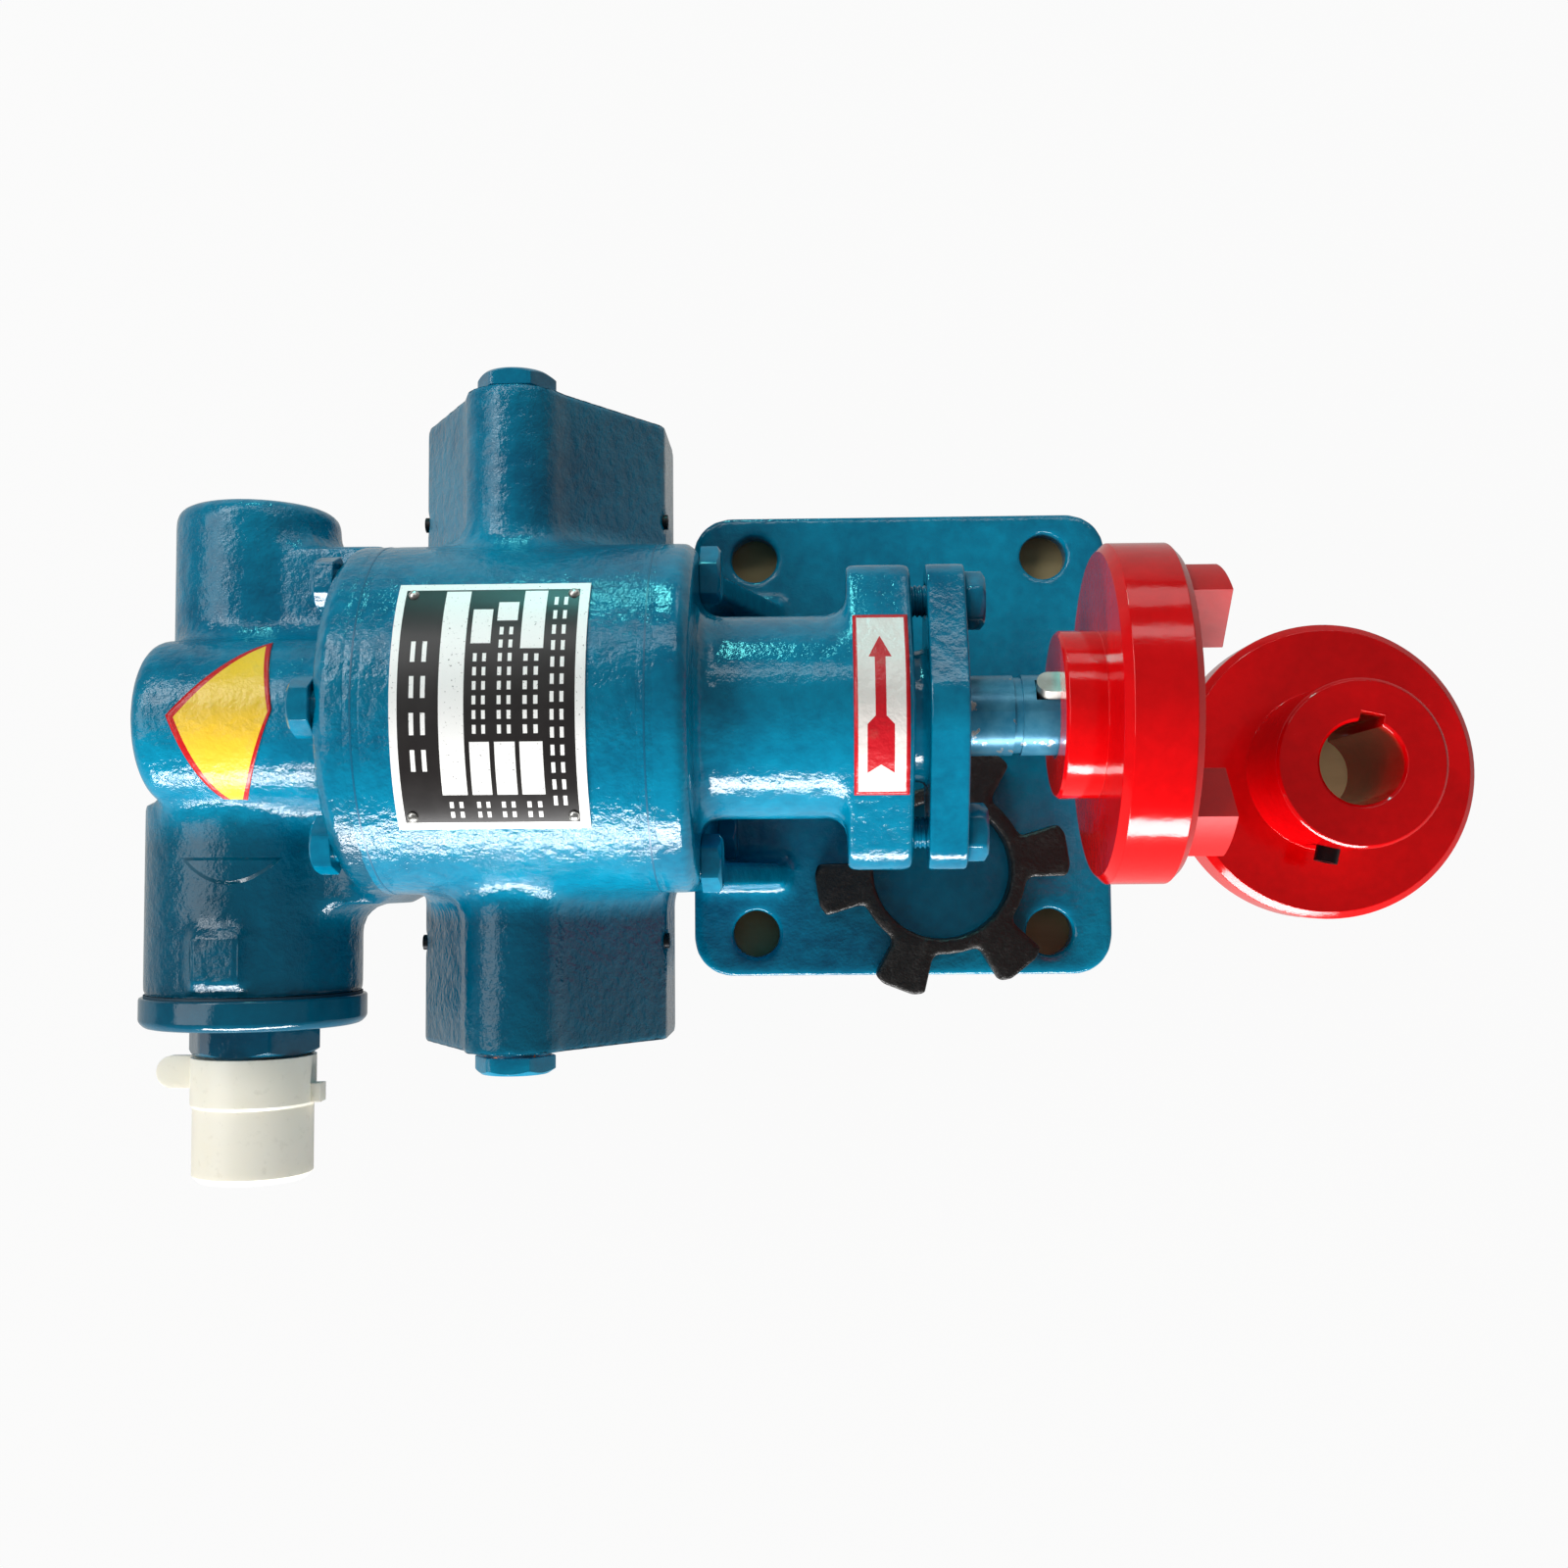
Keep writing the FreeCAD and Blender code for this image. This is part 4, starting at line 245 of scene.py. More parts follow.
def enamel(name, colours=teal, lumps=0.0007, shine=0.42, mark=None, dull=None, painted_shade_from=None):
    """Glossy enamel brushed over iron: clouds of thick and thin paint, the sand's lumps showing
    through it, and fine dry specks, in a deep, a fresh and a worn colour. A mark is a height in
    metres that the casting stands out by, and dull says where the paint was brushed on dry.
    Beyond painted_shade_from, a distance from the pump's middle towards the inlet, the colour is
    darkened as painted shade."""
    deep, fresh, worn = colours
    fade = 0.008
    paint = Finish(name)
    clouds = paint.noise(16, 4.0, 0.6)
    lumpy = paint.noise(230, 4.0, 0.6)
    sand = paint.noise(900, 3.0, 0.6)
    colour = paint.mix(paint.between(clouds * 0.7 + lumpy * 0.3, 0.36, 0.64), deep, fresh)
    # Towards the inlet the colour is mixed with the darker teal: painted shade.
    if painted_shade_from:
        towards_inlet = 0.0 - paint.axes()[1]
        painted_shade_share = paint.between(towards_inlet, painted_shade_from, painted_shade_from + fade)
        colour = paint.mix(painted_shade_share * 0.7, colour, painted_shade_teal)
    grains = paint.between(paint.noise(1900, 2.0, 0.6), 0.68, 0.75)
    specks = grains * paint.between(lumpy, 0.52, 0.66)
    colour = paint.mix(specks * 0.3, colour, worn)
    rough = 0.08 + paint.between(clouds, 0.45, 0.8) * 0.08 + specks * 0.2
    height = (lumpy * 0.88 + sand * 0.12) * lumps
    if mark:
        height = height + mark(paint)
    if dull:
        rough = rough + dull(paint) * 0.36
    return paint.surface(Base_Color=colour, Roughness=rough, Normal=paint.relief(height, 1.0),
                         Specular_IOR_Level=shine)


casting_grain = 0.0014
casting_fillet = 0.005
casting_faces = 150000
# Beyond 55 mm towards the inlet the body's enamel is darkened as painted shade.
body_enamel = enamel("body_enamel", painted_shade_from=0.055)
cast_skin("pump_body", casting_grain, casting_fillet, casting_faces, body_enamel)


# Port threads
# The inlet and the outlet are tapped with a parallel pipe thread, eleven turns to the inch,
# and stay bare iron with a film of oil. Only the port blocks' side faces show them.

angles = np.linspace(0, 2 * np.pi, 72, endpoint=False)


def around(along, reach, origin, axis, side, turn=0.0):
    """Points about an axis. Each row of along and reach is one ring: at every angle its point lies
    that far along the axis from the origin and that far out from it."""
    axis = np.array(axis, float)
    side = np.array(side, float)
    angle = (angles + turn)[None, :, None]
    outward = np.cos(angle) * side + np.sin(angle) * np.cross(axis, side)
    return np.array(origin) + along[..., None] * axis + reach[..., None] * outward


def skin_over(name, grids, row_loop=False, column_loop=True, crease=32):
    """A piece over grids of points, rows by columns, which close on themselves where a loop says
    so. Points that meet, as at a pole, are joined, and the faces are turned outwards."""
    points = []
    quads = []
    for grid in grids:
        rows, columns = grid.shape[:2]
        number = len(points) * rows * columns + np.arange(rows * columns).reshape(rows, columns)
        if row_loop:
            number = np.vstack([number, number[:1]])
        if column_loop:
            number = np.hstack([number, number[:, :1]])
        corners = [number[:-1, :-1], number[:-1, 1:], number[1:, 1:], number[1:, :-1]]
        quads.append(np.stack(corners, axis=-1).reshape(-1, 4))
        points.append(grid.reshape(-1, 3))
    mesh = bpy.data.meshes.new(name)
    mesh.from_pydata(np.concatenate(points).tolist(), [], np.concatenate(quads).tolist())
    closed = bmesh.new()
    closed.from_mesh(mesh)
    bmesh.ops.remove_doubles(closed, verts=closed.verts, dist=0.000001)
    bmesh.ops.recalc_face_normals(closed, faces=closed.faces)
    closed.to_mesh(mesh)
    closed.free()
    mesh.shade_smooth()
    mesh.set_sharp_from_angle(angle=math.radians(crease))
    piece = bpy.data.objects.new(name, mesh)
    bpy.context.scene.collection.objects.link(piece)
    return piece


def rings(*pairs):
    """The rows of a turned shape from its (along, reach) pairs, each a number or one per angle."""
    along = np.array([np.broadcast_to(pair[0], angles.shape) for pair in pairs])
    reach = np.array([np.broadcast_to(pair[1], angles.shape) for pair in pairs])
    return along, reach


def thread_rings(start, end, radius, depth, pitch):
    """A screw thread: the reach falls by the depth and rises again once a pitch, and the place
    of each turn moves along by one pitch around the axis. It fades in over its first turn."""
    along = np.arange(start, end, pitch / 8)
    phase = 2 * np.pi * along[:, None] / pitch - angles[None, :]
    fade = np.clip((along - start) / pitch, 0, 1)[:, None]
    reach = radius - depth * fade * (0.5 - 0.5 * np.cos(phase))
    return np.repeat(along[:, None], len(angles), axis=1), reach


def metal(name, colour, tint, rough, grain, depth=0.000012):
    """Machined metal: tool marks that run across the stretched direction, under clouds of oil."""
    made = Finish(name)
    tool = made.noise(900, 2.0, 0.6, stretch=grain)
    haze = made.noise(70, 4.0, 0.6)
    shade = made.mix(made.between(haze, 0.35, 0.72), colour, tint)
    return made.surface(Base_Color=shade, Metallic=1.0, Roughness=rough + tool * 0.14 + haze * 0.1,
                        Normal=made.relief(tool, depth))


all_ways = (1, 1, 1)
port_iron = metal("port_iron", srgb(120, 118, 114), srgb(84, 78, 70), 0.3, all_ways, 0.00004)
thread_radius = 0.02095
thread_depth = 0.00148
thread_pitch = 0.00231
thread_start = 0.0006
thread_end = 0.0256
sunk_radius = thread_radius + 0.0006
port_x = -0.121
port_face = 0.1025
port_z = 0.076
for side, name in ((-1, "inlet_thread"), (1, "outlet_thread")):
    turns = thread_rings(thread_start, thread_end, thread_radius, thread_depth, thread_pitch)
    wall = rings((thread_end, sunk_radius), (thread_start, sunk_radius))
    along, reach = (np.vstack(rows) for rows in zip(turns, wall))
    grid = around(along, reach, (port_x, side * port_face, port_z), (0, -side, 0), (1, 0, 0))
    port_thread = skin_over(name, [grid], row_loop=True, crease=60)
    port_thread.data.materials.append(port_iron)
    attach(port_thread, "casing")


# Bushes, gears and shafts
# Bronze bushes are pressed into both covers. The gears are hobbed steel, keyed to ground shafts,
# and run in oil, so they keep a brown film. Only the drive shaft's end shows outside.

def dress(node, material):
    """Gives a CAD node's own mesh a material."""
    piece = frame["nodes"][node]
    piece.data.materials.clear()
    piece.data.materials.append(material)


along_shaft = (1, 0.02, 0.02)
across_shaft = (0.02, 1, 1)
bronze = metal("bush_bronze", srgb(186, 138, 78), srgb(140, 96, 50), 0.26, along_shaft)
for node in ("rear_drive_bush", "rear_driven_bush", "front_drive_bush", "front_driven_bush"):
    dress(node, bronze)
gear_steel = metal("hobbed_steel", srgb(168, 164, 156), srgb(120, 108, 90), 0.26, across_shaft,
                   0.00002)
dress("drive_gear", gear_steel)
dress("driven_gear", gear_steel)
ground_steel = metal("ground_steel", srgb(196, 196, 196), srgb(160, 156, 148), 0.2, along_shaft)
dress("driven_shaft", ground_steel)
key_steel = metal("key_steel", srgb(204, 202, 198), srgb(150, 146, 140), 0.24, along_shaft)
for node in ("drive_gear_key", "driven_gear_key", "coupling_key"):
    dress(node, key_steel)

shaft = Finish("brushed_over_shaft")
paint_start = 0.0140
paint_end = 0.0436
tool = shaft.noise(900, 2.0, 0.6, stretch=along_shaft)
patches = shaft.noise(140, 4.0, 0.6)
painted = shaft.axes()[0].within(paint_start, paint_end) * shaft.between(patches, 0.34, 0.38)
paint_colour = shaft.mix(shaft.between(patches, 0.4, 0.7), srgb(30, 112, 144), srgb(64, 136, 164))
steel_colour = shaft.mix(patches, srgb(150, 150, 150), srgb(204, 204, 202))
marks = tool * (1.0 - painted) + patches * painted * 2.0
brushed_shaft = shaft.surface(Base_Color=shaft.mix(painted, steel_colour, paint_colour),
                              Metallic=1.0 - painted * 0.75,
                              Roughness=0.2 + tool * 0.1 + painted * 0.06,
                              Normal=shaft.relief(marks, 0.00002))
dress("drive_shaft", brushed_shaft)


# Gaskets and dowels
# Oiled paper, cut to the covers' outline and nipped between the machined faces. The brush runs
# over their edges, so only a faint line shows. Steel dowels set each cover true to the body.

paper = Finish("gasket_paper")
y, z = paper.axes()[1:]
over_driven = z - driven_z
from_axes = over_driven - over_driven.larger(0.0).smaller(drive_z - driven_z)
overspray = paper.between((y * y + from_axes * from_axes) ** 0.5, 0.0528, 0.0534)
fibres = paper.noise(1400, 3.0, 0.7, stretch=(1, 0.3, 1))
sheet_colour = paper.mix(fibres, srgb(104, 88, 58), srgb(74, 62, 42))
gasket_paper = paper.surface(Base_Color=paper.mix(overspray, sheet_colour, teal[0]),
                             Roughness=0.85 - overspray * 0.55,
                             Normal=paper.relief(fibres, 0.00005))
dress("rear_gasket", gasket_paper)
dress("front_gasket", gasket_paper)
dowel_steel = metal("dowel_steel", srgb(188, 190, 194), srgb(140, 140, 142), 0.18, along_shaft)
dress("dowel_pins", dowel_steel)


# Rear cover
# One casting closes the rear of the body: a plate, the bearing bosses and the cross housing of
# the relief valve, with a shallow wing-shaped pad that the pattern maker left on top.

def wing_pad(paint):
    """A raised pad between a straight edge and a bowed one: it stands where a point lies below the
    edge by less than the bow's depth, which falls as the square of the distance from its middle."""
    middle_x = -0.2125
    half_width = 0.0155
    edge_y = -0.0421
    bow = 0.0084
    high = 0.0012
    top_side = 0.1
    x, y, z = paint.axes()
    across = (x - middle_x) / half_width
    below = edge_y - y
    depth = bow * (1.0 - across * across)
    rim = paint.between(below, 0.0, 0.0009) * paint.between(depth - below, 0.0, 0.0012)
    return rim * (z > top_side) * high


# Beyond 30 mm towards the inlet the cover's enamel is darkened as painted shade.
cover_enamel = enamel("cover_enamel", mark=wing_pad, painted_shade_from=0.03)
cast_skin("rear_cover", casting_grain, casting_fillet, casting_faces, cover_enamel)


# Front bracket
# Flange, packing box and foot are one casting that carries the pump. The foot's top is ground
# flatter than the rest, and four holes take the bolts that hold it down.

bracket_fillet = 0.003
bracket_enamel = enamel("bracket_enamel", lumps=0.0004)
cast_skin("front_bracket", casting_grain, bracket_fillet, casting_faces, bracket_enamel)


# Paint in the joints
# The enamel is laid on after assembly and fills the worn edges on both sides of each gasket, so
# the drum looks like one piece from cover to cover.

def joint_fill(middle, width, reach, depth):
    """A ring that follows the drum's outline: half circles about both gear axes, joined by straight
    sides. Its section is an oval whose cosine and sine are raised to powers below one, so that its
    sides are flat, and it is as wide as the worn edges."""
    steps_around = 240
    steps_of_section = 16
    turns = np.linspace(0, 2 * np.pi, steps_around, endpoint=False)
    section = np.linspace(0, 2 * np.pi, steps_of_section, endpoint=False)
    wide = np.sign(np.cos(section)) * np.abs(np.cos(section)) ** 0.6
    deep = np.sign(np.sin(section)) * np.abs(np.sin(section)) ** 0.4
    x = middle + width / 2 * wide
    out = reach - depth / 2 + depth / 2 * deep
    axis_z = np.where(np.cos(turns) > 0, drive_z, driven_z)[:, None]
    y = out[None, :] * np.sin(turns)[:, None]
    z = out[None, :] * np.cos(turns)[:, None] + axis_z
    return np.stack([np.broadcast_to(x, y.shape), y, z], axis=-1)


rear_joint = -0.16125
front_joint = -0.07875
fill_width = 0.0075
fill_reach = 0.05394
fill_depth = 0.003
for name, middle in (("rear_joint_paint", rear_joint), ("front_joint_paint", front_joint)):
    grid = joint_fill(middle, fill_width, fill_reach, fill_depth)
    fill = skin_over(name, [grid], row_loop=True, crease=60)
    fill.data.materials.append(body_enamel)
    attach(fill, "casing")


# Cover bolts
# Hexagon bolts of ten millimetres hold both covers. Their heads are turned to a cone on top and
# wear the same enamel as the castings, laid on thick enough to round the corners.

def hexagon_reach(flats):
    """How far a hexagon's side lies from the axis at each angle: the half width divided by the
    largest of three cosines. A high power in place of the largest rounds the corners a little."""
    faces = np.cos(angles[:, None] - np.radians([30, 90, 150]))
    return flats / 2 * (np.abs(faces) ** 40).sum(axis=1) ** (-1 / 40)


def hexagon_head(flats, high):
    """Rows of a hexagon head, from its seat to the middle of its top. The corners fall away on a
    cone of 30 degrees that starts a little inside the flats."""
    side = hexagon_reach(flats)
    top = flats * 0.47
    rim = high - (side - top) * math.tan(math.radians(30))
    soft = 0.00025
    return [(0, side - soft), (soft, side), (rim - soft, side), (rim, side - soft), (high, top),
            (high - soft, top - 2 * soft), (high - soft, 0)]


def bolt(flats, high, shank, grip, thread=None):
    """Rows of a bolt, from the end of its shank to the middle of its head. A thread is its depth
    and its pitch."""
    if thread is None:
        return rings((-grip, 0), (-grip, shank / 2), (0, shank / 2), *hexagon_head(flats, high))
    tip = rings((-grip, 0))
    turns = thread_rings(-grip, 0, shank / 2, *thread)
    head = rings((0, shank / 2), *hexagon_head(flats, high))
    return [np.vstack(rows) for rows in zip(tip, turns, head)]


bolt_enamel = enamel("bolt_enamel", lumps=0.00016)
bolt_flats = 0.016
bolt_head_high = 0.0064
bolt_shank = 0.01
cover_bolt = bolt(bolt_flats, bolt_head_high, bolt_shank, grip=0.0325)
bolt_circle = 0.045


def cover_bolts(seat, facing, places, turn_step):
    """Grids of a cover's bolts. Each place is the height of the gear axis that the bolt circle is
    drawn about and the bolt's angle on that circle from the top; each head is turned on a little
    from the one before."""
    grids = []
    for number, (axis_z, degrees) in enumerate(places):
        angle = math.radians(degrees)
        spot = (seat, bolt_circle * math.sin(angle), axis_z + bolt_circle * math.cos(angle))
        grids.append(around(*cover_bolt, spot, (facing, 0, 0), (0, 1, 0), turn_step * number))
    return grids


rear_places = [(drive_z, 0), (driven_z, 180), (drive_z, -60), (drive_z, 60), (driven_z, -120),
               (driven_z, 120)]
rear_grids = cover_bolts(-0.1735, -1, rear_places, turn_step=0.4)
stand_for(skin_over("rear_bolts", rear_grids), "rear_cover_bolts", bolt_enamel)
front_places = [(drive_z, -90), (drive_z, 90), (driven_z, -130), (driven_z, 130)]
front_grids = cover_bolts(-0.0665, 1, front_places, turn_step=0.3)
stand_for(skin_over("front_bolts", front_grids), "front_cover_bolts", bolt_enamel)


# Plugs in the port blocks
# A hexagon screw plug on a copper washer closes the gauge hole on top of each port block, and
# small black socket plugs close the drillings in its sides.

plug_x = -0.1245
plug_seat = 0.1035
plug_rows = bolt(flats=0.022, high=0.0055, shank=0.0166, grip=0.011)
plug_grids = [around(*plug_rows, (plug_x, side * plug_seat, drive_z), (0, side, 0), (1, 0, 0))
              for side in (1, -1)]
stand_for(skin_over("gauge_plug_screws", plug_grids), "gauge_plugs", bolt_enamel)

washer = Finish("brushed_over_copper")
flecks = washer.noise(420, 3.0, 0.6)
bare = washer.between(flecks, 0.58, 0.62)
painted_washer = washer.surface(Base_Color=washer.mix(bare, teal[0], srgb(184, 110, 78)),
                                Metallic=bare, Roughness=0.25 + flecks * 0.15,
                                Normal=washer.relief(flecks, 0.0001))
dress("gauge_plug_washers", painted_washer)

black_oxide = Finish("black_oxide")
film = black_oxide.noise(500, 3.0, 0.6)
rust = black_oxide.between(black_oxide.noise(160, 4.0, 0.65), 0.6, 0.75)
oxide_colour = black_oxide.mix(rust * 0.5, srgb(26, 27, 30), srgb(70, 52, 40))
black_steel = black_oxide.surface(Base_Color=oxide_colour, Metallic=0.7 - rust * 0.4,
                                  Roughness=0.3 + film * 0.2 + rust * 0.2,
                                  Normal=black_oxide.relief(film, 0.00004))
dress("side_plugs", black_steel)


# Relief valve
# A bronze seat and poppet sit in the cross housing under a hard spring. The screw through the
# round cover sets the spring, a large nut locks it, and fibre seals the cover to the casting.

valve_x = -0.2155
valve_z = 0.084
along_valve = (0.02, 1, 0.02)
valve_bronze = metal("valve_bronze", srgb(190, 146, 82), srgb(150, 108, 60), 0.24, along_valve)
dress("valve_seat", valve_bronze)
dress("valve_poppet", valve_bronze)
plate_steel = metal("plate_steel", srgb(178, 178, 176), srgb(130, 124, 114), 0.28, along_valve)
dress("spring_plate", plate_steel)
screw_steel = metal("screw_steel", srgb(182, 182, 182), srgb(132, 126, 116), 0.26, along_valve)
dress("adjusting_screw", screw_steel)
spring_start = -0.00155
spring_pitch = 0.0082
spring_turns = 5
wire_radius = 0.0015


def coil(first_turn, last_turn):
    """A length of round wire wound about the valve's axis: its middle goes round at the coil's
    radius and moves along the axis by one pitch a turn. Both of its ends are flat."""
    middle_radius = 0.01
    steps_along = 120
    sides = 14
    turned = 2 * np.pi * np.linspace(first_turn, last_turn, steps_along)
    turned = np.concatenate([turned[:1], turned, turned[-1:]])
    thick = np.full(len(turned), wire_radius)
    thick[[0, -1]] = 0
    section = np.linspace(0, 2 * np.pi, sides, endpoint=False)
    out = middle_radius + thick[:, None] * np.cos(section)
    x = valve_x + out * np.cos(turned)[:, None]
    middle_y = spring_start - spring_pitch * turned[:, None] / (2 * np.pi)
    y = middle_y - thick[:, None] * np.sin(section)
    z = valve_z + out * np.sin(turned)[:, None]
    return np.stack([x, y, z], axis=-1)


spring_steel = metal("spring_steel", srgb(120, 116, 112), srgb(70, 60, 52), 0.34, all_ways, 0.00003)
half_turns = spring_turns / 2
poppet_end = spring_start - wire_radius
plate_end = spring_start - spring_pitch * spring_turns + wire_radius
for name, turns, body, end_y in (
        ("spring_at_poppet", (0, half_turns), "poppet", poppet_end),
        ("spring_at_plate", (half_turns, spring_turns), "setting_plate", plate_end)):
    half_spring = skin_over(name, [coil(*turns)], crease=50)
    half_spring.data.materials.append(spring_steel)
    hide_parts("valve_spring")
    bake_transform(half_spring)

fibre = Finish("fibre_seal")
threads = fibre.noise(1200, 3.0, 0.7)
fibre_colour = fibre.mix(threads, srgb(12, 44, 60), srgb(24, 70, 90))
fibre_seal = fibre.surface(Base_Color=fibre_colour, Roughness=0.5 + threads * 0.2,
                           Normal=fibre.relief(threads, 0.00006))
dress("valve_seal", fibre_seal)


def bevelled(node, width, material):
    """A CAD node's shape with its sharp edges broken, as paint or a file leaves them."""
    piece = copy_of(node)
    bevel = piece.modifiers.new("edges", "BEVEL")
    bevel.width = width
    bevel.segments = 2
    bevel.limit_method = "ANGLE"
    bevel.angle_limit = math.radians(32)
    apply_modifiers(piece)
    piece.data.shade_smooth()
    piece.modifiers.new("facets", "WEIGHTED_NORMAL")
    apply_modifiers(piece)
    stand_for(piece, node, material)


# Beyond 60 mm towards the inlet this enamel is darkened as painted shade.
valve_enamel = enamel("valve_enamel", lumps=0.00016, painted_shade_from=0.06)
bevelled("valve_cover", width=0.0008, material=valve_enamel)
nut_flats = 0.038
nut_high = 0.01
nut_bore = 0.01104
nut_seat = -0.096
collar_radius = 0.0165
collar_end = 0.021
collar_edge = 0.0003
nut_rows = rings((0, nut_bore), *hexagon_head(nut_flats, nut_high)[:5],
                 (nut_high, collar_radius), (collar_end - collar_edge, collar_radius),
                 (collar_end, collar_radius - collar_edge), (collar_end, nut_bore))
nut_grid = around(*nut_rows, (valve_x, nut_seat, valve_z), (0, -1, 0), (1, 0, 0))
stand_for(skin_over("valve_lock_nut", [nut_grid], row_loop=True), "lock_nut", valve_enamel)


# Cap over the screw
# Soft white plastic, moulded with a thick rim, a pull tab and a nib, and pushed over the nut's
# collar. It is a little milky, and dust has dulled it.

cap = Finish("milky_plastic")
flow = cap.noise(40, 3.0, 0.5)
grime = cap.between(cap.noise(260, 4.0, 0.65), 0.58, 0.78)
cap_colour = cap.mix(flow * 0.5, srgb(252, 247, 232), srgb(248, 239, 214))
cap_colour = cap.mix(grime * 0.3, cap_colour, srgb(196, 190, 170))
milky = cap.surface(Base_Color=cap_colour, Roughness=0.3 + grime * 0.3 + flow * 0.1,
                    Normal=cap.relief(flow + grime * 0.2, 0.0001), Subsurface_Weight=0.25,
                    Subsurface_Radius=(0.004, 0.0035, 0.003), Subsurface_Scale=1.0)
bevelled("protective_cap", width=0.0005, material=milky)


# Packing and gland
# Rings of greased braid fill the box, and the cast gland is drawn in on them by two bolts. The
# bolts go through the flange into the box's ears and show their threads between the two.

braid = Finish("greased_braid")
x, y, z = braid.axes()
strands_around = 16.0
strands_along = 900.0
around_shaft = braid.node("Math", {"operation": "ARCTAN2"}, {0: y, 1: z - drive_z}) * strands_around
one_way = around_shaft + x * strands_along
other_way = around_shaft - x * strands_along
weave = one_way.math("SINE", one_way) * other_way.math("SINE", other_way) * 0.5 + 0.5
packing_braid = braid.surface(Base_Color=braid.mix(weave, srgb(34, 31, 27), srgb(96, 88, 74)),
                              Roughness=0.45 + weave * 0.3, Normal=braid.relief(weave, 0.0003))
dress("packing_rings", packing_braid)

gland_enamel = enamel("gland_enamel", lumps=0.00028)
cast_skin("packing_gland", grain=0.0007, fillet=0.001, faces=60000, material=gland_enamel)

gland_seat = 0.0152
ear_reach = 0.036
bolt_thread = (0.0006, 0.0015)
gland_bolt = bolt(bolt_flats, bolt_head_high, bolt_shank, grip=0.0347, thread=bolt_thread)
gland_grids = []
for side, turn in ((1, 0.25), (-1, 0.0)):
    ear = (gland_seat, side * ear_reach, drive_z)
    gland_grids.append(around(*gland_bolt, ear, (1, 0, 0), (0, 1, 0), turn))
stand_for(skin_over("gland_hexagons", gland_grids, crease=50), "gland_bolts", bolt_enamel)


# Coupling halves
# Two turned iron discs with three jaws each, sprayed red all over before fitting. One is keyed
# to the pump's shaft; the other is for the motor and lies beside the pump with its jaws down.

def pump_jaws(paint):
    """1 on the jaws of the half that sits on the shaft, and 0 on everything else."""
    jaw_root = 0.0785
    past_jaw_tip = 0.0965
    return paint.axes()[0].within(jaw_root, past_jaw_tip)


red = (srgb(196, 0, 4), srgb(224, 2, 8), srgb(230, 70, 74))
red_enamel = enamel("red_enamel", red, lumps=0.00009, shine=0.36, dull=pump_jaws)
bevelled("pump_coupling_half", width=0.0007, material=red_enamel)
bevelled("motor_coupling_half", width=0.0007, material=red_enamel)
dress("pump_set_screw", black_steel)
dress("motor_set_screw", black_steel)


# Rubber star
# Moulded in one piece with six lobes, one for each gap between the jaws. It lies loose on the
# foot, and its skin is matt, with the mould's ripples and pale dust.

rubber = Finish("moulded_rubber")
ripples = rubber.noise(150, 5.0, 0.65)
pits = rubber.noise(900, 3.0, 0.6)
dust = rubber.between(ripples * 0.6 + pits * 0.4, 0.5, 0.72)
moulded = rubber.surface(Base_Color=rubber.mix(dust * 0.6, srgb(17, 14, 12), srgb(46, 38, 33)),
                         Roughness=0.36 + dust * 0.35,
                         Normal=rubber.relief(ripples * 0.7 + pits * 0.3, 0.0009))
cast_skin("rubber_star", grain=0.0009, fillet=0.0012, faces=60000, material=moulded)


# Nameplate
# A thin sheet bent over the top of the drum, printed black with a bright border, blank fields
# and short rules where a maker's particulars would go. Four round-headed rivets hold it.

plate = Finish("printed_plate")
x, y, z = plate.axes()
bend_radius = 0.05485
plate_start = -0.15
millimetres = 1000.0
along_plate = (x - plate_start) * millimetres
lean = plate.node("Math", {"operation": "ARCTAN2"}, {0: y, 1: z - drive_z})
round_plate = lean * (bend_radius * millimetres)
frame_line = 1.0 - along_plate.within(2.3, 52.2) * round_plate.within(-35.9, 35.8)
# Each field's start and end along the shaft, then around the drum, in millimetres.
blank_fields = [(13.9, 21.0, -26.9, 35.2), (22.4, 28.0, 16.9, 28.2), (22.4, 28.0, -26.9, -11.4),
                (29.4, 35.2, 24.2, 30.8), (29.4, 35.2, -26.9, -11.4), (36.5, 43.0, 15.2, 35.2),
                (36.5, 43.0, -26.9, -11.4)]
print_mask = frame_line
for low_x, high_x, low_s, high_s in blank_fields:
    print_mask = print_mask + along_plate.within(low_x, high_x) * round_plate.within(low_s, high_s)
# The same for each column of short rules, and the step from one rule to the next.
ruled_columns = [(15.2, 19.8, -34.6, -28.4, 3.2), (23.0, 27.4, -34.6, -28.4, 3.2),
                 (30.0, 34.6, -34.6, -28.4, 3.2), (37.2, 42.2, -34.6, -28.4, 3.2),
                 (5.2, 10.6, -21.0, 21.0, 10.4), (23.0, 27.4, -9.6, 15.0, 4.1),
                 (30.0, 34.6, -9.6, 22.4, 4.1), (37.2, 42.2, -9.6, 13.6, 4.1),
                 (44.8, 49.4, -31.0, 33.4, 5.0)]
for low_x, high_x, low_s, high_s, pitch in ruled_columns:
    steps = round_plate.math("FRACT", (round_plate - low_s) / pitch)
    middle = (low_x + high_x) / 2
    width = (high_x - low_x) / 2
    twin = abs(abs(along_plate - middle) - width * 0.6) < width * 0.24
    strokes = twin * steps.within(0.12, 0.72)
    column = along_plate.within(low_x, high_x) * round_plate.within(low_s, high_s)
    print_mask = print_mask + strokes * column
worn_print = plate.noise(1300, 3.0, 0.6)
bright = print_mask.smaller(1.0) * plate.between(worn_print, 0.26, 0.36)
smears = plate.noise(90, 4.0, 0.6)
plate_colour = plate.mix(smears, srgb(24, 21, 21), srgb(38, 34, 33))
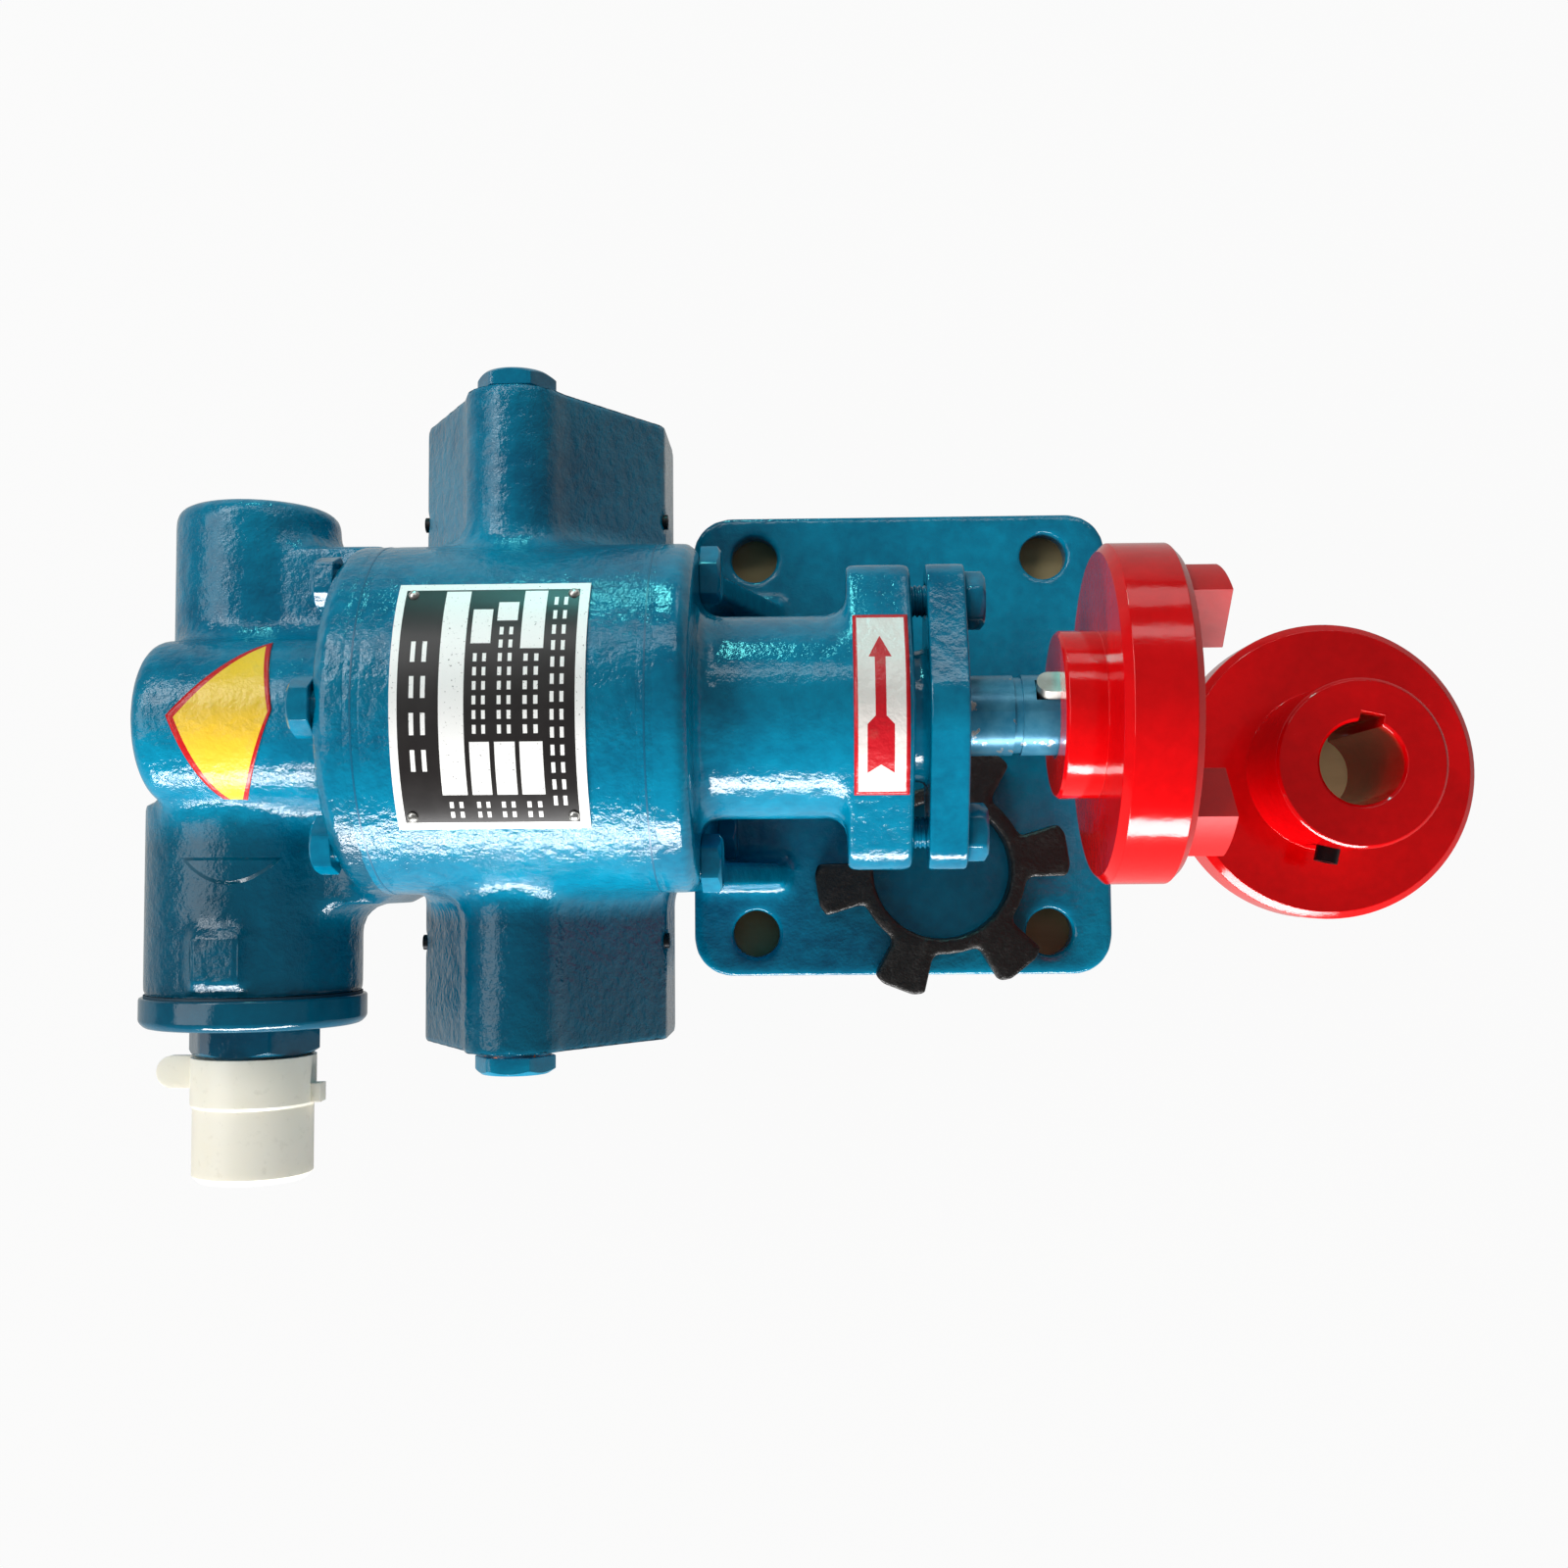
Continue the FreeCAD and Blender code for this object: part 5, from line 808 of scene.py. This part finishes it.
printed_plate = plate.surface(Base_Color=plate.mix(bright, plate_colour, srgb(252, 252, 249)),
                              Metallic=bright * 0.06,
                              Roughness=0.26 + smears * 0.16 + bright * 0.06,
                              Normal=plate.relief(bright * 0.4 + smears, 0.00003))
dress("nameplate", printed_plate)

rivet_high = 0.0012
rivet_radius = 0.0016
rivet_rows = rings(*[(rivet_high * math.sin(angle), rivet_radius * math.cos(angle))
                     for angle in np.radians([-40, 0, 18, 36, 54, 72, 90])])
rivet_grids = []
for rivet_x in (-0.1455, -0.0995):
    for lean in np.radians([-35.5, 35.5]):
        outward = (0, math.sin(lean), math.cos(lean))
        seat = (rivet_x, bend_radius * outward[1], drive_z + bend_radius * outward[2])
        rivet_grids.append(around(*rivet_rows, seat, outward, (1, 0, 0)))
rivet_metal = metal("rivet_metal", srgb(214, 214, 210), srgb(170, 166, 158), 0.2, all_ways, 0.00003)
stand_for(skin_over("plate_rivets", rivet_grids), "nameplate_rivets", rivet_metal)


# Stickers
# Two printed vinyl stickers: the arrow on the packing box shows which way the shaft drives the
# oil, and the yellow rhombus on the bearing boss is left blank. Both follow the castings.

def sticker(name, grid, material):
    """A thin sheet over a grid of points, with the grid's rows and columns as its UV map."""
    piece = skin_over(name, [grid], column_loop=False, crease=180)
    rows, columns = grid.shape[:2]
    shares = np.meshgrid(np.linspace(0, 1, columns), np.linspace(0, 1, rows))
    spots = np.stack(shares, axis=-1).reshape(-1, 2)
    corner_points = np.zeros(len(piece.data.loops), int)
    piece.data.loops.foreach_get("vertex_index", corner_points)
    layer = piece.data.uv_layers.new(name="sheet")
    layer.data.foreach_set("uv", spots[corner_points].ravel())
    thick = piece.modifiers.new("vinyl", "SOLIDIFY")
    thick.thickness = 0.0002
    thick.offset = -1.0
    piece.data.materials.append(material)
    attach(piece, "casing")


def vinyl(label, ground, lines, line_colour):
    """Ends a printed sticker: lines over a ground that is creased and dusty."""
    creases = label.noise(120, 4.0, 0.6)
    colour = label.mix(lines, ground, line_colour)
    dust = label.between(creases, 0.62, 0.8) * 0.25
    return label.surface(Base_Color=label.mix(dust, colour, srgb(150, 140, 120)),
                         Roughness=0.24 + creases * 0.16, Normal=label.relief(creases, 0.0008))


# The packing box is round on top, and its sides slope down as tangents of its ears' rounds.
box_radius = 0.0315
ear_radius = 0.0115
over_paint = 0.0003
label_radius = box_radius + over_paint
ear_slope = math.asin((box_radius - ear_radius) / ear_reach)
arc_end = label_radius * ear_slope
arrow_start = -0.0281
arrow_long = 0.0603
arrow_wide = 0.0165
arrow_x = -0.0197
arrow_rows = 90
arrow_columns = 14
from_top = np.linspace(arrow_start, arrow_start + arrow_long, arrow_rows)
bent = np.clip(from_top, -arc_end, arc_end)
straight = from_top - bent
lean = bent / label_radius
arrow_y = label_radius * np.sin(lean) + straight * np.cos(lean)
arrow_z = drive_z + label_radius * np.cos(lean) - straight * np.sin(lean)
x_values = np.linspace(arrow_x, arrow_x + arrow_wide, arrow_columns)
arrow_grid = np.stack([np.tile(x_values, (arrow_rows, 1)),
                       np.tile(arrow_y[:, None], (1, arrow_columns)),
                       np.tile(arrow_z[:, None], (1, arrow_columns))], axis=-1)
label = Finish("arrow_print")
u, v = label.axes(label.node("TexCoord", output="UV"))[:2]
wide = arrow_wide * millimetres
long = arrow_long * millimetres
across = u * wide
along = v * long + arrow_start * millimetres
edge_gap = across.smaller(wide - across).smaller(v * long).smaller(long - v * long)
# The arrow in millimetres: a head that narrows to its tip, and a tail that widens to its notch.
arrow_middle = 7.9
tip = 23.7
head_start = 15.6
narrow = 1.6
broad = 4.0
tail_widens = -2.8
notch = -17.7
off_middle = abs(across - arrow_middle)
arrow_head = (off_middle < (tip - along) * 0.42) * (along > head_start)
tail_width = ((tail_widens - along) * 0.96 + narrow).larger(narrow).smaller(broad)
before_head = along < head_start + 0.1
arrow_tail = (off_middle < tail_width) * before_head * (along > off_middle * -0.7 + notch)
arrow_mask = arrow_head.larger(arrow_tail).larger(edge_gap < 1.2)
sticker("flow_arrow", arrow_grid, vinyl(label, srgb(232, 226, 220), arrow_mask, srgb(198, 14, 30)))

boss_radius = 0.0263
rhombus_points = 40
corner_x = np.array([-0.1974, -0.2245, -0.2088, -0.1927])
corner_s = np.array([0.0296, 0.0, -0.0408, 0.0014])
steps = np.linspace(0, 1, rhombus_points)
first, second = np.meshgrid(steps, steps, indexing="ij")
shares = np.stack([(1 - first) * (1 - second), first * (1 - second), first * second,
                   (1 - first) * second], axis=-1)
rhombus_x = shares @ corner_x
rhombus_lean = shares @ corner_s / boss_radius
rhombus_grid = np.stack([rhombus_x, boss_radius * np.sin(rhombus_lean),
                         drive_z + boss_radius * np.cos(rhombus_lean)], axis=-1)
label = Finish("yellow_print")
u, v = label.axes(label.node("TexCoord", output="UV"))[:2]
edge_gap = u.smaller(1.0 - u).smaller(v).smaller(1.0 - v)
yellow = label.mix(label.noise(60, 2.0), srgb(240, 190, 30), srgb(246, 208, 70))
border = edge_gap < 0.055
sticker("blank_rhombus", rhombus_grid, vinyl(label, yellow, border, srgb(196, 18, 22)))


# Floor, lights and camera
# A white sweep, seen from above as in the photograph. A bright low window stands on the inlet side,
# with dimmer lamps in the corner, on the left, behind and as a door and a green screen. Under the
# foot and the loose bore the floor is brown wood: the floor's own colour, and painted shade there.

floor_mesh = bpy.data.meshes.new("floor")
far = 4.0
floor_corners = [(-far, -far, 0), (far, -far, 0), (far, far, 0), (-far, far, 0)]
floor_mesh.from_pydata(floor_corners, [], [(0, 1, 2, 3)])
floor = bpy.data.objects.new("floor", floor_mesh)
bpy.context.scene.collection.objects.link(floor)
ground = Finish("floor_white")
x, y = ground.axes()[:2]
half_foot_long = 0.066
half_foot_wide = 0.08
loose_x = 0.153
loose_y = -0.013
hidden_radius = 0.02
under_foot = (abs(x) < half_foot_long) * (abs(y) < half_foot_wide)
from_bore_x = x - loose_x
from_bore_y = y - loose_y
from_bore = (from_bore_x * from_bore_x + from_bore_y * from_bore_y) ** 0.5
under_bore = from_bore < hidden_radius
# Brown wood only under the foot and the loose bore: partly the floor's colour, partly painted
# shade.
wood_and_painted_shade = under_foot.larger(under_bore)
mirrored = ground.node("LightPath", output="Is Glossy Ray")
mirrored = mirrored + ground.node("LightPath", output="Is Transmission Ray")
seen = ground.node("LightPath", output="Is Camera Ray") * 0.95 + mirrored * 0.4
streaks = ground.noise(90, 4.0, 0.6, stretch=(0.2, 1, 1))
planks = ground.mix(streaks, srgb(146, 128, 92), srgb(184, 164, 122))
shade = ground.node("BsdfDiffuse", sockets={"Color": ground.mix(wood_and_painted_shade, srgb(136, 132, 124), planks)})
glow = ground.node("Emission", sockets={"Color": (1, 1, 1, 1), "Strength": 1.0})
blend = ground.node("MixShader", sockets={0: seen * (1.0 - wood_and_painted_shade), 1: shade, 2: glow})
ground.node("OutputMaterial", sockets={"Surface": blend})
floor.data.materials.append(ground.material)

bpy.context.scene.world = bpy.data.worlds.new("studio")
sky = Finish("studio", sky=bpy.context.scene.world)
to_camera = sky.node("LightPath", output="Is Camera Ray")
room = sky.node("Background", sockets={"Color": (1, 1, 1, 1), "Strength": to_camera * 0.78 + 0.17})
sky.node("OutputWorld", sockets={"Surface": room})


def softbox(name, place, target, width, height, power, colour=(1, 1, 1)):
    """A soft lamp that faces a point."""
    lamp = bpy.data.lights.new(name, "AREA")
    lamp.color = colour
    lamp.shape = "RECTANGLE"
    lamp.size = width
    lamp.size_y = height
    lamp.energy = power
    held = bpy.data.objects.new(name, lamp)
    held.location = place
    held.rotation_euler = (Vector(target) - Vector(place)).to_track_quat("-Z", "Y").to_euler()
    bpy.context.scene.collection.objects.link(held)


softbox("corner", (-1.0, 0.9, 1.4), (-0.05, 0, 0.1), width=0.6, height=0.6, power=7.5)
softbox("left", (-1.15, 0.1, 1.1), (-0.05, 0, 0.1), width=1.0, height=1.0, power=7.5)
softbox("strip", (-0.1, 0.85, 0.9), (-0.05, 0, 0.12), width=1.6, height=0.16, power=3.2)
softbox("screen", (-0.19, 1.03, 0.36), (-0.08, 0, 0.14), width=0.1, height=0.24, power=2.4,
        colour=(0.2, 1.0, 0.95))
softbox("door", (0.32, 1.05, 0.38), (0.06, 0, 0.12), width=0.3, height=0.3, power=0.6)
softbox("window", (-0.15, -1.6, 0.25), (-0.05, 0, 0.12), width=1.7, height=0.38, power=58)

photo_width = 1600.0
lens_in_pixels = 1667.0
camera_data = bpy.data.cameras.new("camera")
camera_data.sensor_width = 36.0
camera_data.lens = camera_data.sensor_width * lens_in_pixels / photo_width
camera = bpy.data.objects.new("camera", camera_data)
camera.location = (-0.02884, -0.05117, 0.6178)
camera.rotation_mode = "AXIS_ANGLE"
# From looking straight down, the camera turns about this vector by its length in radians.
turn = Vector((0.0602, 0.0243, -0.0084))
camera.rotation_axis_angle = (turn.length, *turn.normalized())
bpy.context.scene.collection.objects.link(camera)
bpy.context.scene.camera = camera
bpy.context.scene.view_settings.view_transform = "Standard"
